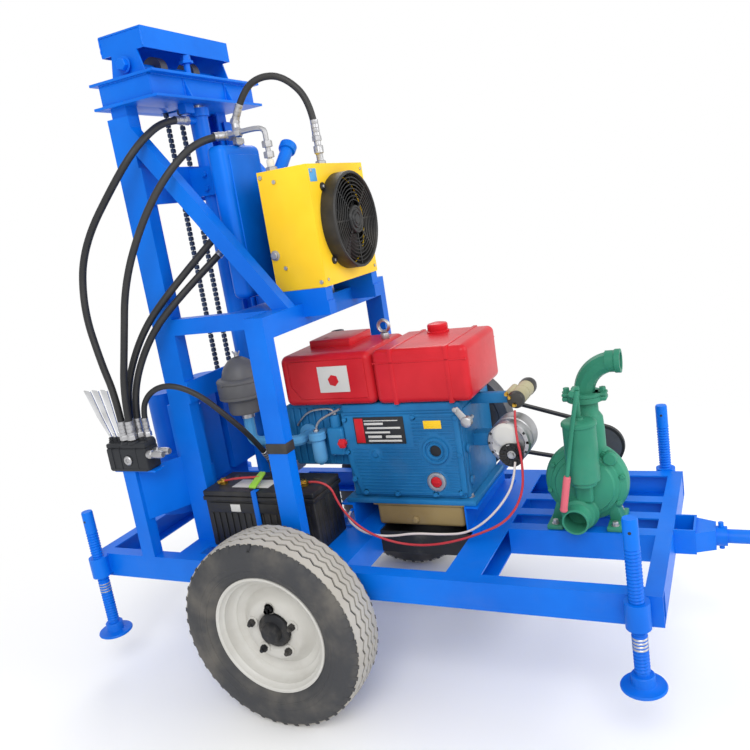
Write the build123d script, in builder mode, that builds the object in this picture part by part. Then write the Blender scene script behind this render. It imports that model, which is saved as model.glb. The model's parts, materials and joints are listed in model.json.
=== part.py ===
"""Trailer-mounted water well drilling rig: chassis, mast, drill head, engine and pumps.

Sizes are in millimetres.  Drawing datum: x runs forward from the rear end of the
side rails, y across from the centre line (near side negative), z up from the rail tops.
"""
import os
from math import cos, radians, sin

from build123d import *

# Chassis
LENGTH = 1800.0
HALF_WIDTH = 400.0
CHANNEL_H = 80.0
CHANNEL_W = 43.0
STEEL = 5.0
INSIDE = HALF_WIDTH - CHANNEL_W
MAST_X0, MAST_X1 = 330.0, 410.0

# Running gear
AXLE_X = 770.0
AXLE_Z = -130.0
AXLE_TUBE = 25.0
STUB_R = 17.5
RUN_FIT = 0.1
TYRE_R = 288.0
TYRE_W = 157.0
BEAD_R = 178.0
TYRE_IN = HALF_WIDTH + 15
TYRE_OUT = TYRE_IN + TYRE_W

# Jacks: screws beside the rails, each with its foot at its own height
JACK_REAR, JACK_FRONT = 40.0, LENGTH - 55
JACK_Y = HALF_WIDTH + 29
JACK_R = 19.0
JACK_LENGTH = 439.0
FOOT_R = 55.0
COLLAR_R = 30.0
JACKS = (
    # name, x, side, foot height
    ("jack_rear_near", JACK_REAR, -1, -275.0),
    ("jack_rear_far", JACK_REAR, 1, -240.0),
    ("jack_front_near", JACK_FRONT, -1, -227.0),
    ("jack_front_far", JACK_FRONT, 1, -221.0),
)

# Drawbar
BAR_Z = -30.0
BAR_R = 19.0
EYE_X = LENGTH + 643
EYE_R = 42.0
STAND_X = EYE_X - 213

# Where the drawing datum lies in the part's own frame (origin on the floor, centred)
REAR = -(EYE_X + EYE_R + JACK_REAR - FOOT_R) / 2
RAIL_TOP = TYRE_R - AXLE_Z

# Mast
MAST_TOP = 1350.0
MAST_Y = 260.0
INNER_GAP = 6.0
GUIDE_GAP = 0.5
HEAD_Z = 1380.0
HEAD_H = 76.0
PLATE = 8.0
ROD_R = 13.0
LIFT_X = 467.0
LIFT_R = 29.0
CHAIN_SHEAVE = (370.0, 1406.0)
CHAIN_R = 28.0
CROWN_SHEAVE = (400.0, 1496.0)
SHAFT_R = 12.0

# Drill head
DRILL_X = 176.0
MOTOR_Y = 120.0
MOTOR_R = 49.0
GEAR_R = 92.0
BORE_R = 20.0

# Deck, tank and cooler
DECK_Z = 740.0
TANK_X0, TANK_X1 = 622.0, 752.0
THIN_X0 = 606.0
COOL_X0, COOL_X1 = 758.0, 926.0
COOL_Z = 956.0
FAN_R = 134.0

# Engine
CRANK = (1112.0, 237.0)
FLYWHEEL_R = 188.0
HEAD_TOP = 400.0
ENGINE_X1 = 1245.0
ENGINE_FAR = 200.0
HOPPER_X0, HOPPER_X1 = 662.0, 985.0
CLEANER = (535.0, -136.0)
CLEANER_R = 80.0
INTAKE_Z = 300.0

# Water pump
PUMP = (LENGTH - 227, 128.0)
NECK_X = PUMP[0] + 16
FLANGE_Z = 382.0
ELBOW_Z = 476.0
ELBOW_R = 29.0
PRIMER = (PUMP[0] + 9, -86.0)
SUCTION = (PUMP[0] - 18, 52.0)

# Belt drives: pulley centres in (x, z), radii, and belt bands across
HYDRAULIC = (565.0, 230.0)
CRANK_PULLEY_R = 90.0
BELT_T = 9.0
BELT_GAP = 0.3
BELTS = (
    # centre, pulley radius, y0, y1
    (PUMP, 60.0, 288.0, 306.0),
    (HYDRAULIC, 50.0, 312.0, 330.0),
)

# Control valve
VALVE_Z = 298.0
VALVE_H = 92.0
PORT_H = 30.0
PORT_TOP = VALVE_Z + VALVE_H + PORT_H
PORT_NEAR, PORT_FAR = -HALF_WIDTH + 5, -HALF_WIDTH + 38

# Hoses and cables: radius, then the corners of their runs from one fitting to the next
CORDS = {
    "hose_return": (11.0, (
        (278, PORT_NEAR, PORT_TOP), (278, PORT_NEAR, 530), (325, -388, 700), (365, -372, 880),
        (455, -345, 1045), (545, -305, 1165), (612, -211, 1252), (650, -136, 1252))),
    "hose_cooler": (10.0, (
        (674, -99, 1302), (707, -92, 1368), (765, -80, 1401), (838, -65, 1388),
        (905, -50, 1307), (905, -50, 1215))),
    "hose_lift": (11.0, (
        (LIFT_X, -83, 1332), (LIFT_X, -165, 1332), (462, -290, 1268), (400, -345, 1180),
        (225, -365, 1000), (190, -385, 820), (222, PORT_NEAR, 645), (248, PORT_NEAR, 540),
        (248, PORT_NEAR, PORT_TOP))),
    "hose_feed_a": (11.0, (
        (252, PORT_FAR, PORT_TOP), (252, PORT_FAR, 520), (325, -335, 690), (420, -282, 815),
        (590, -165, 985))),
    "hose_feed_b": (11.0, (
        (282, PORT_FAR, PORT_TOP), (282, PORT_FAR, 520), (355, -335, 680), (450, -282, 795),
        (590, -150, 935))),
    "hose_pump": (9.0, (
        (312, PORT_FAR, PORT_TOP), (312, PORT_FAR, 478), (340, -361, 526), (388, -354, 553),
        (445, -341, 551), (512, -318, 510), (558, -280, 436), (588, -214, 345), (580, -130, 243))),
    "cable_red": (3.5, (
        (1398, -48, 356), (1402, -84, 306), (1424, -120, 228), (1420, -140, 135), (1374, -168, 65),
        (1285, -186, 28), (1195, -200, 4), (1105, -203, -8), (1015, -213, 6), (932, -224, 48),
        (876, -230, 118), (852, -233, 207), (784, -232, 200))),
    "cable_white": (3.5, (
        (1388, -72, 208), (1388, -105, 160), (1358, -130, 108), (1308, -155, 58), (1248, -172, 24),
        (1170, -182, 22), (1090, -190, 26), (1010, -197, 14), (935, -203, 22), (884, -190, 45),
        (858, -165, 60), (850, -128, 58))),
}
CORNER_SHARE = 0.45


def block(x0, x1, y0, y1, z0, z1, mode=Mode.ADD):
    """Box between two corners given in the drawing datum."""
    with Locations((REAR + (x0 + x1) / 2, (y0 + y1) / 2, RAIL_TOP + (z0 + z1) / 2)):
        Box(x1 - x0, y1 - y0, z1 - z0, mode=mode)


def bar(x, y, z, along, radius, length, mode=Mode.ADD):
    """Cylinder that starts at a point and runs along a direction."""
    with Locations(Plane(origin=(REAR + x, y, RAIL_TOP + z), z_dir=along)):
        Cylinder(radius, length, align=(Align.CENTER, Align.CENTER, Align.MIN), mode=mode)


def cone(x, y, z, along, r0, r1, length, mode=Mode.ADD):
    """Cone from one radius to another, starting at a point."""
    with Locations(Plane(origin=(REAR + x, y, RAIL_TOP + z), z_dir=along)):
        Cone(r0, r1, length, align=(Align.CENTER, Align.CENTER, Align.MIN), mode=mode)


def prism(points, y0, y1, mode=Mode.ADD):
    """Outline of (x, z) points in the side view, run across from y0 to y1."""
    side_view = Plane(origin=(REAR, y1, RAIL_TOP), x_dir=(1, 0, 0), z_dir=(0, -1, 0))
    with BuildSketch(side_view) as profile:
        with BuildLine():
            Polyline(*points, close=True)
        make_face()
    extrude(profile.sketch, amount=y1 - y0, mode=mode)


def channel(x0, x1, y0, y1, z0, z1, run, mouth):
    """U channel: a block hollowed along its run axis, open at its mouth side."""
    block(x0, x1, y0, y1, z0, z1)
    low, high = [x0, y0, z0], [x1, y1, z1]
    for axis in range(3):
        if axis != "xyz".index(run):
            low[axis] += STEEL
            high[axis] -= STEEL
    axis = "xyz".index(mouth[1])
    if mouth[0] == "+":
        high[axis] += STEEL
    else:
        low[axis] -= STEEL
    block(low[0], high[0], low[1], high[1], low[2], high[2], mode=Mode.SUBTRACT)


def fitting(name, radius, length, first=False):
    """Stub that carries a hose's or cable's last run on into what it joins."""
    points = CORDS[name][1]
    before, end = (points[1], points[0]) if first else (points[-2], points[-1])
    along = (Vector(*end) - Vector(*before)).normalized()
    bar(*end, along, radius, length)


def cord_path(points):
    """Straight runs joined by arcs that are as wide as the shorter run beside them allows."""
    corners = [Vector(REAR + x, y, RAIL_TOP + z) for x, y, z in points]
    start = corners[0]
    for before, corner, after in zip(corners, corners[1:], corners[2:]):
        into, out = (corner - before).normalized(), (after - corner).normalized()
        reach = CORNER_SHARE * min((corner - before).length, (after - corner).length)
        half_turn = radians(into.get_angle(out)) / 2
        inward = (out - into).normalized()
        middle = corner + inward * (reach / sin(half_turn)) * (1 - cos(half_turn))
        Line(start, corner - into * reach)
        ThreePointArc(corner - into * reach, middle, corner + out * reach)
        start = corner + out * reach
    Line(start, corners[-1])


os.makedirs("parts", exist_ok=True)

# Side rails: channels with the web outward, and the jack collars welded to them
with BuildPart() as side_rails:
    for y0, y1, mouth in ((-HALF_WIDTH, -INSIDE, "+y"), (INSIDE, HALF_WIDTH, "-y")):
        channel(0, LENGTH, y0, y1, -CHANNEL_H, 0, "x", mouth)
    for _, x, side, _ in JACKS:
        bar(x, side * JACK_Y, -66, (0, 0, 1), COLLAR_R, 68)
        y0, y1 = sorted((side * HALF_WIDTH, side * (JACK_Y - COLLAR_R / 2)))
        block(x - 24, x + 24, y0, y1, -66, -2)
        bar(x, side * JACK_Y, -70, (0, 0, 1), JACK_R + RUN_FIT, 80, mode=Mode.SUBTRACT)
side_rails.part.label = "side_rails"
export_step(side_rails.part, "parts/side_rails.step")

# Cross members between the rails' flanges, the bearers between them and the engine bed
CROSS_3, CROSS_4 = (840, 940), (1246, 1345)
CHANNELS = (
    # x0, x1, y0, y1, z0, z1, run, mouth
    (0, CHANNEL_W, -INSIDE, INSIDE, -CHANNEL_H, 0, "y", "+x"),
    (MAST_X0, MAST_X1, -INSIDE, INSIDE, -CHANNEL_H, 0, "y", "-x"),
    (*CROSS_3, -INSIDE, INSIDE, -CHANNEL_H, 0, "y", "-x"),
    (*CROSS_4, -INSIDE, INSIDE, -CHANNEL_H, 0, "y", "+x"),
    (LENGTH - CHANNEL_W, LENGTH, -INSIDE, INSIDE, -CHANNEL_H, 0, "y", "-x"),
    (MAST_X1, CROSS_3[0], -52, -9, -CHANNEL_H, 0, "x", "+y"),
    (CROSS_4[1], LENGTH - CHANNEL_W, -78, -35, -CHANNEL_H, 0, "x", "+y"),
    (CROSS_4[1], LENGTH - CHANNEL_W, 30, 73, -CHANNEL_H, 0, "x", "-y"),
    (CROSS_4[1], LENGTH - CHANNEL_W, 147, 190, -CHANNEL_H, 0, "x", "-y"),
    (812, 858, -112, INSIDE - 57, 0, CHANNEL_H, "y", "-x"),
    (1228, 1271, -112, INSIDE - 57, 0, CHANNEL_H, "y", "+x"),
)
BATTERY_Y0, BATTERY_Y1 = 57 - INSIDE, 232 - INSIDE
with BuildPart() as cross_members:
    for x0, x1, y0, y1, z0, z1, run, mouth in CHANNELS:
        channel(x0, x1, y0, y1, z0, z1, run, mouth)
    block(MAST_X1, CROSS_3[0], BATTERY_Y0, BATTERY_Y1, -STEEL, 0)
    block(MAST_X1, LIFT_X + 45, -52, 52, -PLATE, 0)
    fitting("cable_white", 5, 20)
cross_members.part.label = "cross_members"
export_step(cross_members.part, "parts/cross_members.step")

# Drip pan hung between the cross members
with BuildPart() as drip_pan:
    block(CROSS_3[1], CROSS_4[0], -120, 160, -76, -6)
    block(CROSS_3[1] + 4, CROSS_4[0] - 4, -116, 156, -72, -6, mode=Mode.SUBTRACT)
drip_pan.part.label = "drip_pan"
export_step(drip_pan.part, "parts/drip_pan.step")

# Jacks: foot disc, hub, screw and cap
for jack_name, x, side, foot in JACKS:
    with BuildPart() as jack:
        bar(x, side * JACK_Y, foot, (0, 0, 1), FOOT_R, 10)
        bar(x, side * JACK_Y, foot + 10, (0, 0, 1), 28, 28)
        bar(x, side * JACK_Y, foot + 38, (0, 0, 1), JACK_R, JACK_LENGTH - 38)
    jack.part.label = jack_name
    export_step(jack.part, f"parts/{jack_name}.step")

# Drawbar: box, converging cheeks, socket, pipe, pin and tow eye
with BuildPart() as drawbar:
    block(LENGTH, LENGTH + 56, -52, 52, -64, 6)
    block(LENGTH, LENGTH + 50, -46, 46, -58, 7, mode=Mode.SUBTRACT)
    with BuildSketch(Plane(origin=(REAR + LENGTH, 0, RAIL_TOP + BAR_Z - 28))):
        with BuildLine():
            Polyline((56, -52), (105, -30), (105, 30), (56, 52), close=True)
        make_face()
    extrude(amount=56)
    bar(LENGTH + 105, 0, BAR_Z, (1, 0, 0), BAR_R + 8, 28)
    bar(LENGTH + 133, 0, BAR_Z, (1, 0, 0), BAR_R, EYE_X - EYE_R - LENGTH - 129)
    bar(LENGTH + 118, 0, BAR_Z - 36, (0, 0, 1), 7, 76)
    block(EYE_X - 60, EYE_X - 30, -24, 24, BAR_Z - 12, BAR_Z + 12)
    bar(EYE_X, 0, BAR_Z - 13, (0, 0, 1), EYE_R, 26)
    bar(EYE_X, 0, BAR_Z - 20, (0, 0, 1), 25, 40, mode=Mode.SUBTRACT)
drawbar.part.label = "drawbar"
export_step(drawbar.part, "parts/drawbar.step")

# Parking stand clamped round the drawbar pipe
with BuildPart() as drawbar_stand:
    bar(STAND_X - 30, 0, BAR_Z, (1, 0, 0), BAR_R + 9, 60)
    bar(STAND_X - 31, 0, BAR_Z, (1, 0, 0), BAR_R, 62, mode=Mode.SUBTRACT)
    bar(STAND_X, 0, 6 - RAIL_TOP, (0, 0, 1), 17, RAIL_TOP + BAR_Z - BAR_R - 9)
    bar(STAND_X, 0, -RAIL_TOP, (0, 0, 1), 60, 6)
drawbar_stand.part.label = "drawbar_stand"
export_step(drawbar_stand.part, "parts/drawbar_stand.step")

# Axle: square tube under the rails, with saddles and stub shafts
with BuildPart() as axle:
    block(AXLE_X - AXLE_TUBE, AXLE_X + AXLE_TUBE, -HALF_WIDTH, HALF_WIDTH,
          AXLE_Z - AXLE_TUBE, AXLE_Z + AXLE_TUBE)
    for side in (-1, 1):
        y0, y1 = sorted((side * HALF_WIDTH, side * INSIDE))
        block(AXLE_X - 40, AXLE_X + 40, y0, y1, AXLE_Z + AXLE_TUBE, -CHANNEL_H)
        bar(AXLE_X, side * HALF_WIDTH, AXLE_Z, (0, side, 0), STUB_R, TYRE_IN - HALF_WIDTH + 123)
axle.part.label = "axle"
export_step(axle.part, "parts/axle.step")

# Wheels: tyre sections turned about the axle, and disc rims
TYRE_MID = (TYRE_IN + TYRE_OUT) / 2
TYRE_HALF = (TYRE_OUT - TYRE_IN) / 2
for name, side in (("near", -1), ("far", 1)):
    hub_plane = Plane(origin=(REAR + AXLE_X, side * TYRE_MID, RAIL_TOP + AXLE_Z),
                      x_dir=(0, side, 0), z_dir=(1, 0, 0))
    with BuildPart() as tyre:
        with BuildSketch(hub_plane):
            with BuildLine():
                Line((-56, BEAD_R), (56, BEAD_R))
                ThreePointArc((56, BEAD_R), (TYRE_HALF, 230), (66, 277))
                ThreePointArc((66, 277), (0, TYRE_R), (-66, 277))
                ThreePointArc((-66, 277), (-TYRE_HALF, 230), (-56, BEAD_R))
            make_face()
        revolve(axis=Axis((REAR + AXLE_X, 0, RAIL_TOP + AXLE_Z), (0, 1, 0)))
    tyre.part.label = f"tyre_{name}"
    export_step(tyre.part, f"parts/tyre_{name}.step")

    with BuildPart() as rim:
        with BuildSketch(hub_plane):
            with BuildLine():
                Polyline((-56, BEAD_R), (56, BEAD_R), (56, 166), (24, 150), (12, 120),
                         (30, 84), (30, 52), (56, 44), (56, 0), (-40, 0), (-40, 40),
                         (16, 52), (16, 80), (0, 116), (0, 146), (-44, 150), (-56, 166), close=True)
            make_face()
        revolve(axis=Axis((REAR + AXLE_X, 0, RAIL_TOP + AXLE_Z), (0, 1, 0)))
        bar(AXLE_X, side * (TYRE_MID - 50), AXLE_Z, (0, side, 0), STUB_R + RUN_FIT, 96,
            mode=Mode.SUBTRACT)
    rim.part.label = f"rim_{name}"
    export_step(rim.part, f"parts/rim_{name}.step")

# Deck portal: posts, the beam between them, the beams back to the mast, and the mast's braces
BEAM = 40.0
POST_X0, POST_X1 = 776.0, 839.0
with BuildPart() as deck_frame:
    for side in (-1, 1):
        y0, y1 = sorted((side * HALF_WIDTH, side * (HALF_WIDTH - BEAM)))
        block(POST_X0, POST_X1, y0, y1, 0, DECK_Z - 63)
        y0, y1 = sorted((side * MAST_Y, side * (MAST_Y - BEAM)))
        block(MAST_X1, POST_X0, y0, y1, DECK_Z - 50, DECK_Z)
        prism([(MAST_X1, 1318), (MAST_X1, 1238), (783, DECK_Z), (POST_X1, DECK_Z)], y0, y1)
        y0, y1 = sorted((side * 180, side * (MAST_Y - BEAM)))
        block(TANK_X0, POST_X0, y0, y1, DECK_Z - 6, DECK_Z)
        y0, y1 = sorted((side * 178, side * 138))
        block(POST_X1, COOL_X1, y0, y1, DECK_Z - 40, DECK_Z)
        block(POST_X0, COOL_X1 - 4, y0, y1, DECK_Z, 780)
    block(POST_X0, POST_X1, -HALF_WIDTH, HALF_WIDTH, DECK_Z - 63, DECK_Z)
    block(TANK_X0, POST_X0, -180, 180, DECK_Z - 6, DECK_Z)
deck_frame.part.label = "deck_frame"
export_step(deck_frame.part, "parts/deck_frame.step")

# Mast: fixed outer channels with their ties and the lift cylinder's seat
with BuildPart() as mast_columns:
    for y0, y1, mouth in ((-MAST_Y, -MAST_Y + CHANNEL_W, "+y"), (MAST_Y - CHANNEL_W, MAST_Y, "-y")):
        channel(MAST_X0, MAST_X1, y0, y1, 0, MAST_TOP, "z", mouth)
    for z0, z1 in ((470, 540), (1090, 1200)):
        block(MAST_X1, MAST_X1 + PLATE, -MAST_Y, MAST_Y, z0, z1)
        block(MAST_X1 + PLATE, LIFT_X + 38, -38, 38, z0 + 10, z1 - 10)
        bar(LIFT_X, 0, z0, (0, 0, 1), LIFT_R, z1 - z0, mode=Mode.SUBTRACT)
    for side in (-1, 1):
        y0, y1 = sorted((side * (MAST_Y - STEEL), side * (MAST_Y - STEEL - INNER_GAP + GUIDE_GAP)))
        for z0, z1 in ((20, 100), (1250, 1330)):
            block(346, 394, y0, y1, z0, z1)
mast_columns.part.label = "mast_columns"
export_step(mast_columns.part, "parts/mast_columns.step")

# Lift cylinder with the oil port at its top
with BuildPart() as lift_barrel:
    bar(LIFT_X, 0, 0, (0, 0, 1), LIFT_R + 8, 14)
    bar(LIFT_X, 0, 14, (0, 0, 1), LIFT_R, HEAD_Z - 49)
    bar(LIFT_X, 0, HEAD_Z - 35, (0, 0, 1), LIFT_R + 6.5, 25)
    fitting("hose_lift", 11, 60, first=True)
    bar(LIFT_X, 0, 20, (0, 0, 1), ROD_R + 5, HEAD_Z - 60, mode=Mode.SUBTRACT)
    bar(LIFT_X, 0, 20, (0, 0, 1), ROD_R + RUN_FIT, HEAD_Z, mode=Mode.SUBTRACT)
lift_barrel.part.label = "lift_barrel"
export_step(lift_barrel.part, "parts/lift_barrel.step")

with BuildPart() as lift_rod:
    bar(LIFT_X, 0, 40, (0, 0, 1), ROD_R, HEAD_Z - 40)
lift_rod.part.label = "lift_rod"
export_step(lift_rod.part, "parts/lift_rod.step")

# Inner columns nested in the outer ones, tied at the foot
IN_X0, IN_X1 = MAST_X0 + STEEL + INNER_GAP, MAST_X1 - STEEL - INNER_GAP
IN_Y = MAST_Y - STEEL - INNER_GAP
with BuildPart() as inner_columns:
    for y0, y1, mouth in ((-IN_Y, -IN_Y + 50, "+y"), (IN_Y - 50, IN_Y, "-y")):
        channel(IN_X0, IN_X1, y0, y1, 10, HEAD_Z, "z", mouth)
    block(IN_X1 - 8, IN_X1, -IN_Y + 50, IN_Y - 50, 10, 90)
inner_columns.part.label = "inner_columns"
export_step(inner_columns.part, "parts/inner_columns.step")

# Head beam across the inner columns: flanges, webs set back between them, end plates, gussets
HEAD_X0, HEAD_X1, HEAD_Y = 300.0, 542.0, 272.0
WEB_BACK = 25.0
WEB_X0, WEB_X1 = HEAD_X0 + WEB_BACK, HEAD_X1 - WEB_BACK
HEAD_TOP_Z = HEAD_Z + HEAD_H
with BuildPart() as head_beam:
    for z0 in (HEAD_Z, HEAD_TOP_Z - PLATE):
        block(HEAD_X0, HEAD_X1, -HEAD_Y, HEAD_Y, z0, z0 + PLATE)
    block(WEB_X0, WEB_X0 + PLATE, -HEAD_Y, HEAD_Y, HEAD_Z, HEAD_TOP_Z)
    block(WEB_X1 - PLATE, WEB_X1, -HEAD_Y, HEAD_Y, HEAD_Z, HEAD_TOP_Z)
    for y in (-HEAD_Y, HEAD_Y - PLATE):
        block(HEAD_X0, HEAD_X1, y, y + PLATE, HEAD_Z, HEAD_TOP_Z)
    for y in (-110, 99):
        prism([(WEB_X1, HEAD_TOP_Z - 4), (WEB_X1, HEAD_Z + 4), (HEAD_X1 - 2, HEAD_Z + 4)], y, y + PLATE)
    for y in (-70, 62):
        block(WEB_X0, WEB_X1, y, y + PLATE, HEAD_Z, HEAD_TOP_Z)
    block(WEB_X0 + PLATE, CHAIN_SHEAVE[0] + CHAIN_R + 12, -16, 16, HEAD_Z, HEAD_Z + PLATE,
          mode=Mode.SUBTRACT)
    bar(CHAIN_SHEAVE[0], -70, CHAIN_SHEAVE[1], (0, 1, 0), SHAFT_R, 140)
    block(LIFT_X - 30, LIFT_X + 30, -30, 30, HEAD_Z, HEAD_TOP_Z)
    block(465, 495, -93, -49, HEAD_Z - 30, HEAD_Z)
head_beam.part.label = "head_beam"
export_step(head_beam.part, "parts/head_beam.step")

# Lift chain over its sheave, down to the mast's tie and to the carriage
with BuildPart() as lift_chain:
    bar(CHAIN_SHEAVE[0], -12, CHAIN_SHEAVE[1], (0, 1, 0), CHAIN_R + 6, 24)
    bar(CHAIN_SHEAVE[0], -12, CHAIN_SHEAVE[1], (0, 1, 0), SHAFT_R, 24, mode=Mode.SUBTRACT)
    for x, foot in ((CHAIN_SHEAVE[0] - CHAIN_R, 470), (CHAIN_SHEAVE[0] + CHAIN_R, 500)):
        block(x - 6, x + 6, -9, 9, foot, CHAIN_SHEAVE[1])
lift_chain.part.label = "lift_chain"
export_step(lift_chain.part, "parts/lift_chain.step")

# Crown: end plates, tray-shaped cover and the rope sheaves on their shaft
CROWN_Z = 1591.0
with BuildPart() as crown:
    for side in (-1, 1):
        y0, y1 = sorted((side * 213, side * 207))
        prism([(340, HEAD_TOP_Z), (470, HEAD_TOP_Z), (452, CROWN_Z - 59), (356, CROWN_Z - 59)], y0, y1)
    block(319, 481, -213, 213, CROWN_Z - 60, CROWN_Z)
    block(323, 477, -209, 209, CROWN_Z - 61, CROWN_Z - 4, mode=Mode.SUBTRACT)
    bar(CROWN_SHEAVE[0], -224, CROWN_SHEAVE[1], (0, 1, 0), SHAFT_R, 448)
    bar(468, -10, HEAD_TOP_Z, (0, 0, 1), 10, CROWN_Z - 4 - HEAD_TOP_Z)
crown.part.label = "crown"
export_step(crown.part, "parts/crown.step")

with BuildPart() as crown_sheaves:
    for y in (-80, 80):
        bar(CROWN_SHEAVE[0], y - 16, CROWN_SHEAVE[1], (0, 1, 0), 36, 32)
        bar(CROWN_SHEAVE[0], y - 16, CROWN_SHEAVE[1], (0, 1, 0), SHAFT_R, 32, mode=Mode.SUBTRACT)
crown_sheaves.part.label = "crown_sheaves"
export_step(crown_sheaves.part, "parts/crown_sheaves.step")

# Drill head carriage: plate ahead of the columns and guide shoes inside them
with BuildPart() as carriage:
    block(296, 322, -236, 236, 150, 460)
    block(290, 330, -16, 16, 140, 470, mode=Mode.SUBTRACT)
    for side in (-1, 1):
        for z0, z1 in ((160, 240), (370, 450)):
            y0, y1 = sorted((side * 186, side * 176))
            block(322, IN_X1 - 12, y0, y1, z0, z1)
            y0, y1 = sorted((side * (IN_Y - STEEL - GUIDE_GAP), side * 186))
            block(IN_X0 + STEEL + GUIDE_GAP, IN_X1 - STEEL - GUIDE_GAP, y0, y1, z0, z1)
    block(272, 296, -60, 60, 300, 460)
carriage.part.label = "carriage"
export_step(carriage.part, "parts/carriage.step")

# Drill head: gearbox with two hydraulic motors
with BuildPart() as drill_head:
    block(DRILL_X - GEAR_R, DRILL_X + GEAR_R, -MOTOR_Y, MOTOR_Y, 60, 270)
    for side in (-1, 1):
        bar(DRILL_X, side * MOTOR_Y, 60, (0, 0, 1), GEAR_R, 210)
        bar(DRILL_X, side * MOTOR_Y, 270, (0, 0, 1), MOTOR_R, 208)
    block(DRILL_X + GEAR_R, 296, -MOTOR_Y, MOTOR_Y, 80, 260)
    bar(DRILL_X, 0, 270, (0, 0, 1), BORE_R + 18, 40)
    bar(DRILL_X, 0, 60, (0, 0, 1), BORE_R + 10, 250, mode=Mode.SUBTRACT)
drill_head.part.label = "drill_head"
export_step(drill_head.part, "parts/drill_head.step")

with BuildPart() as spindle:
    bar(DRILL_X, 0, -60, (0, 0, 1), BORE_R + 24, 112)
    bar(DRILL_X, 0, 52, (0, 0, 1), BORE_R + 10 - RUN_FIT, 320)
    bar(DRILL_X, 0, 330, (0, 0, 1), BORE_R + 20, 60)
    bar(DRILL_X, 0, -60, (0, 0, 1), BORE_R, 460, mode=Mode.SUBTRACT)
spindle.part.label = "spindle"
export_step(spindle.part, "parts/spindle.step")

# Oil tank: main part behind the cooler, thin part beside it, ports and slanted filler neck
TANK_TOP = 1226.0
MAIN_TOP = 1110.0
with BuildPart() as oil_tank:
    block(THIN_X0, TANK_X0 + 52, -194, 11, 772, TANK_TOP)
    fillet(oil_tank.edges().filter_by(Axis.Z), radius=24)
    block(TANK_X0, TANK_X1, 0, 185, DECK_Z, MAIN_TOP)
    bar(700, 12, MAIN_TOP - 7, (0, 0.72, 0.69), 20, 160)
    bar(700, 118, 1205, (0, 0.72, 0.69), 26, 22)
    bar(668, -100, TANK_TOP - 4, (0, 0, 1), 12, 74)
    fitting("hose_cooler", 10, 16, first=True)
    fitting("hose_return", 11, 42)
    fitting("hose_feed_a", 11, 62)
    fitting("hose_feed_b", 11, 62)
oil_tank.part.label = "oil_tank"
export_step(oil_tank.part, "parts/oil_tank.step")

# Oil cooler: housing open at the back, with the fan's round mouth in its front plate, a finned core
# across it, and its ports
with BuildPart() as cooler:
    block(COOL_X0, COOL_X1, -176, 180, 780, 1128)
    block(COOL_X0 - 1, COOL_X1 - 4, -150, 154, 806, 1104, mode=Mode.SUBTRACT)
    bar(COOL_X1 - 5, 0, COOL_Z, (1, 0, 0), FAN_R, 6, mode=Mode.SUBTRACT)
    block(800, 862, -150, 154, 806, 1104)
    fitting("hose_cooler", 10, 100)
    bar(790, -140, 1120, (0, 0, 1), 12, 44)
cooler.part.label = "cooler"
export_step(cooler.part, "parts/cooler.step")

# Fan: ring with its grille bars and hub, and the rotor behind them
FAN_X = COOL_X1 + 22
with BuildPart() as fan_shroud:
    bar(COOL_X1, 0, COOL_Z, (1, 0, 0), FAN_R + 10, FAN_X + 24 - COOL_X1)
    bar(COOL_X1 - 10, 0, COOL_Z, (1, 0, 0), FAN_R, 80, mode=Mode.SUBTRACT)
    for side in (-1, 1):
        y0, y1 = sorted((side * FAN_R, side * 20))
        block(FAN_X + 16, FAN_X + 22, y0, y1, COOL_Z - 8, COOL_Z + 8)
        block(FAN_X + 16, FAN_X + 22, -8, 8, *sorted((COOL_Z + side * 20, COOL_Z + side * FAN_R)))
    bar(FAN_X + 6, 0, COOL_Z, (1, 0, 0), 44, 20)
    bar(FAN_X - 36, 0, COOL_Z, (1, 0, 0), 8, 44)
fan_shroud.part.label = "fan_shroud"
export_step(fan_shroud.part, "parts/fan_shroud.step")

BLADES = 7
with BuildPart() as fan_rotor:
    bar(FAN_X - 40, 0, COOL_Z, (1, 0, 0), 30, 40)
    for step in range(BLADES):
        turn = step * 360 / BLADES
        where = (REAR + FAN_X - 22, 72 * cos(radians(turn)), RAIL_TOP + COOL_Z + 72 * sin(radians(turn)))
        with Locations(Location(where, (turn, 0, 0))):
            Box(5, 104, 36)
    bar(FAN_X - 50, 0, COOL_Z, (1, 0, 0), 8 + RUN_FIT, 60, mode=Mode.SUBTRACT)
fan_rotor.part.label = "fan_rotor"
export_step(fan_rotor.part, "parts/fan_rotor.step")

# Battery with its lid and terminals
with BuildPart() as battery:
    block(422, 830, BATTERY_Y0 + 4, BATTERY_Y1 - 4, 0, 160)
    block(418, 834, BATTERY_Y0, BATTERY_Y1, 160, 190)
    for x in (460, 766):
        bar(x, -232, 190, (0, 0, 1), 10, 16)
    fitting("cable_red", 5, 16)
battery.part.label = "battery"
export_step(battery.part, "parts/battery.step")

# Engine: crankcase with its gear cover, and the cylinder with its head
CRANK_HOLE = (1159.0, -100.0, 253.0)
with BuildPart() as engine_block:
    block(830, ENGINE_X1 + 20, -106, ENGINE_FAR, CHANNEL_H, 96)
    block(850, ENGINE_X1, -80, ENGINE_FAR, 96, HEAD_TOP)
    block(858, ENGINE_X1 - 3, -100, -80, 104, 372)
    bar(*CRANK_HOLE, (0, -1, 0), 42, 8)
    block(640, 850, -60, 150, 190, HEAD_TOP)
    block(616, 640, -50, 140, 200, HEAD_TOP - 10)
    bar(CRANK[0], ENGINE_FAR, CRANK[1], (0, 1, 0), 60, 8)
engine_block.part.label = "engine_block"
export_step(engine_block.part, "parts/engine_block.step")

with BuildPart() as oil_sump:
    block(930, 1218, -96, 150, 4, CHANNEL_H)
oil_sump.part.label = "oil_sump"
export_step(oil_sump.part, "parts/oil_sump.step")

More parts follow.
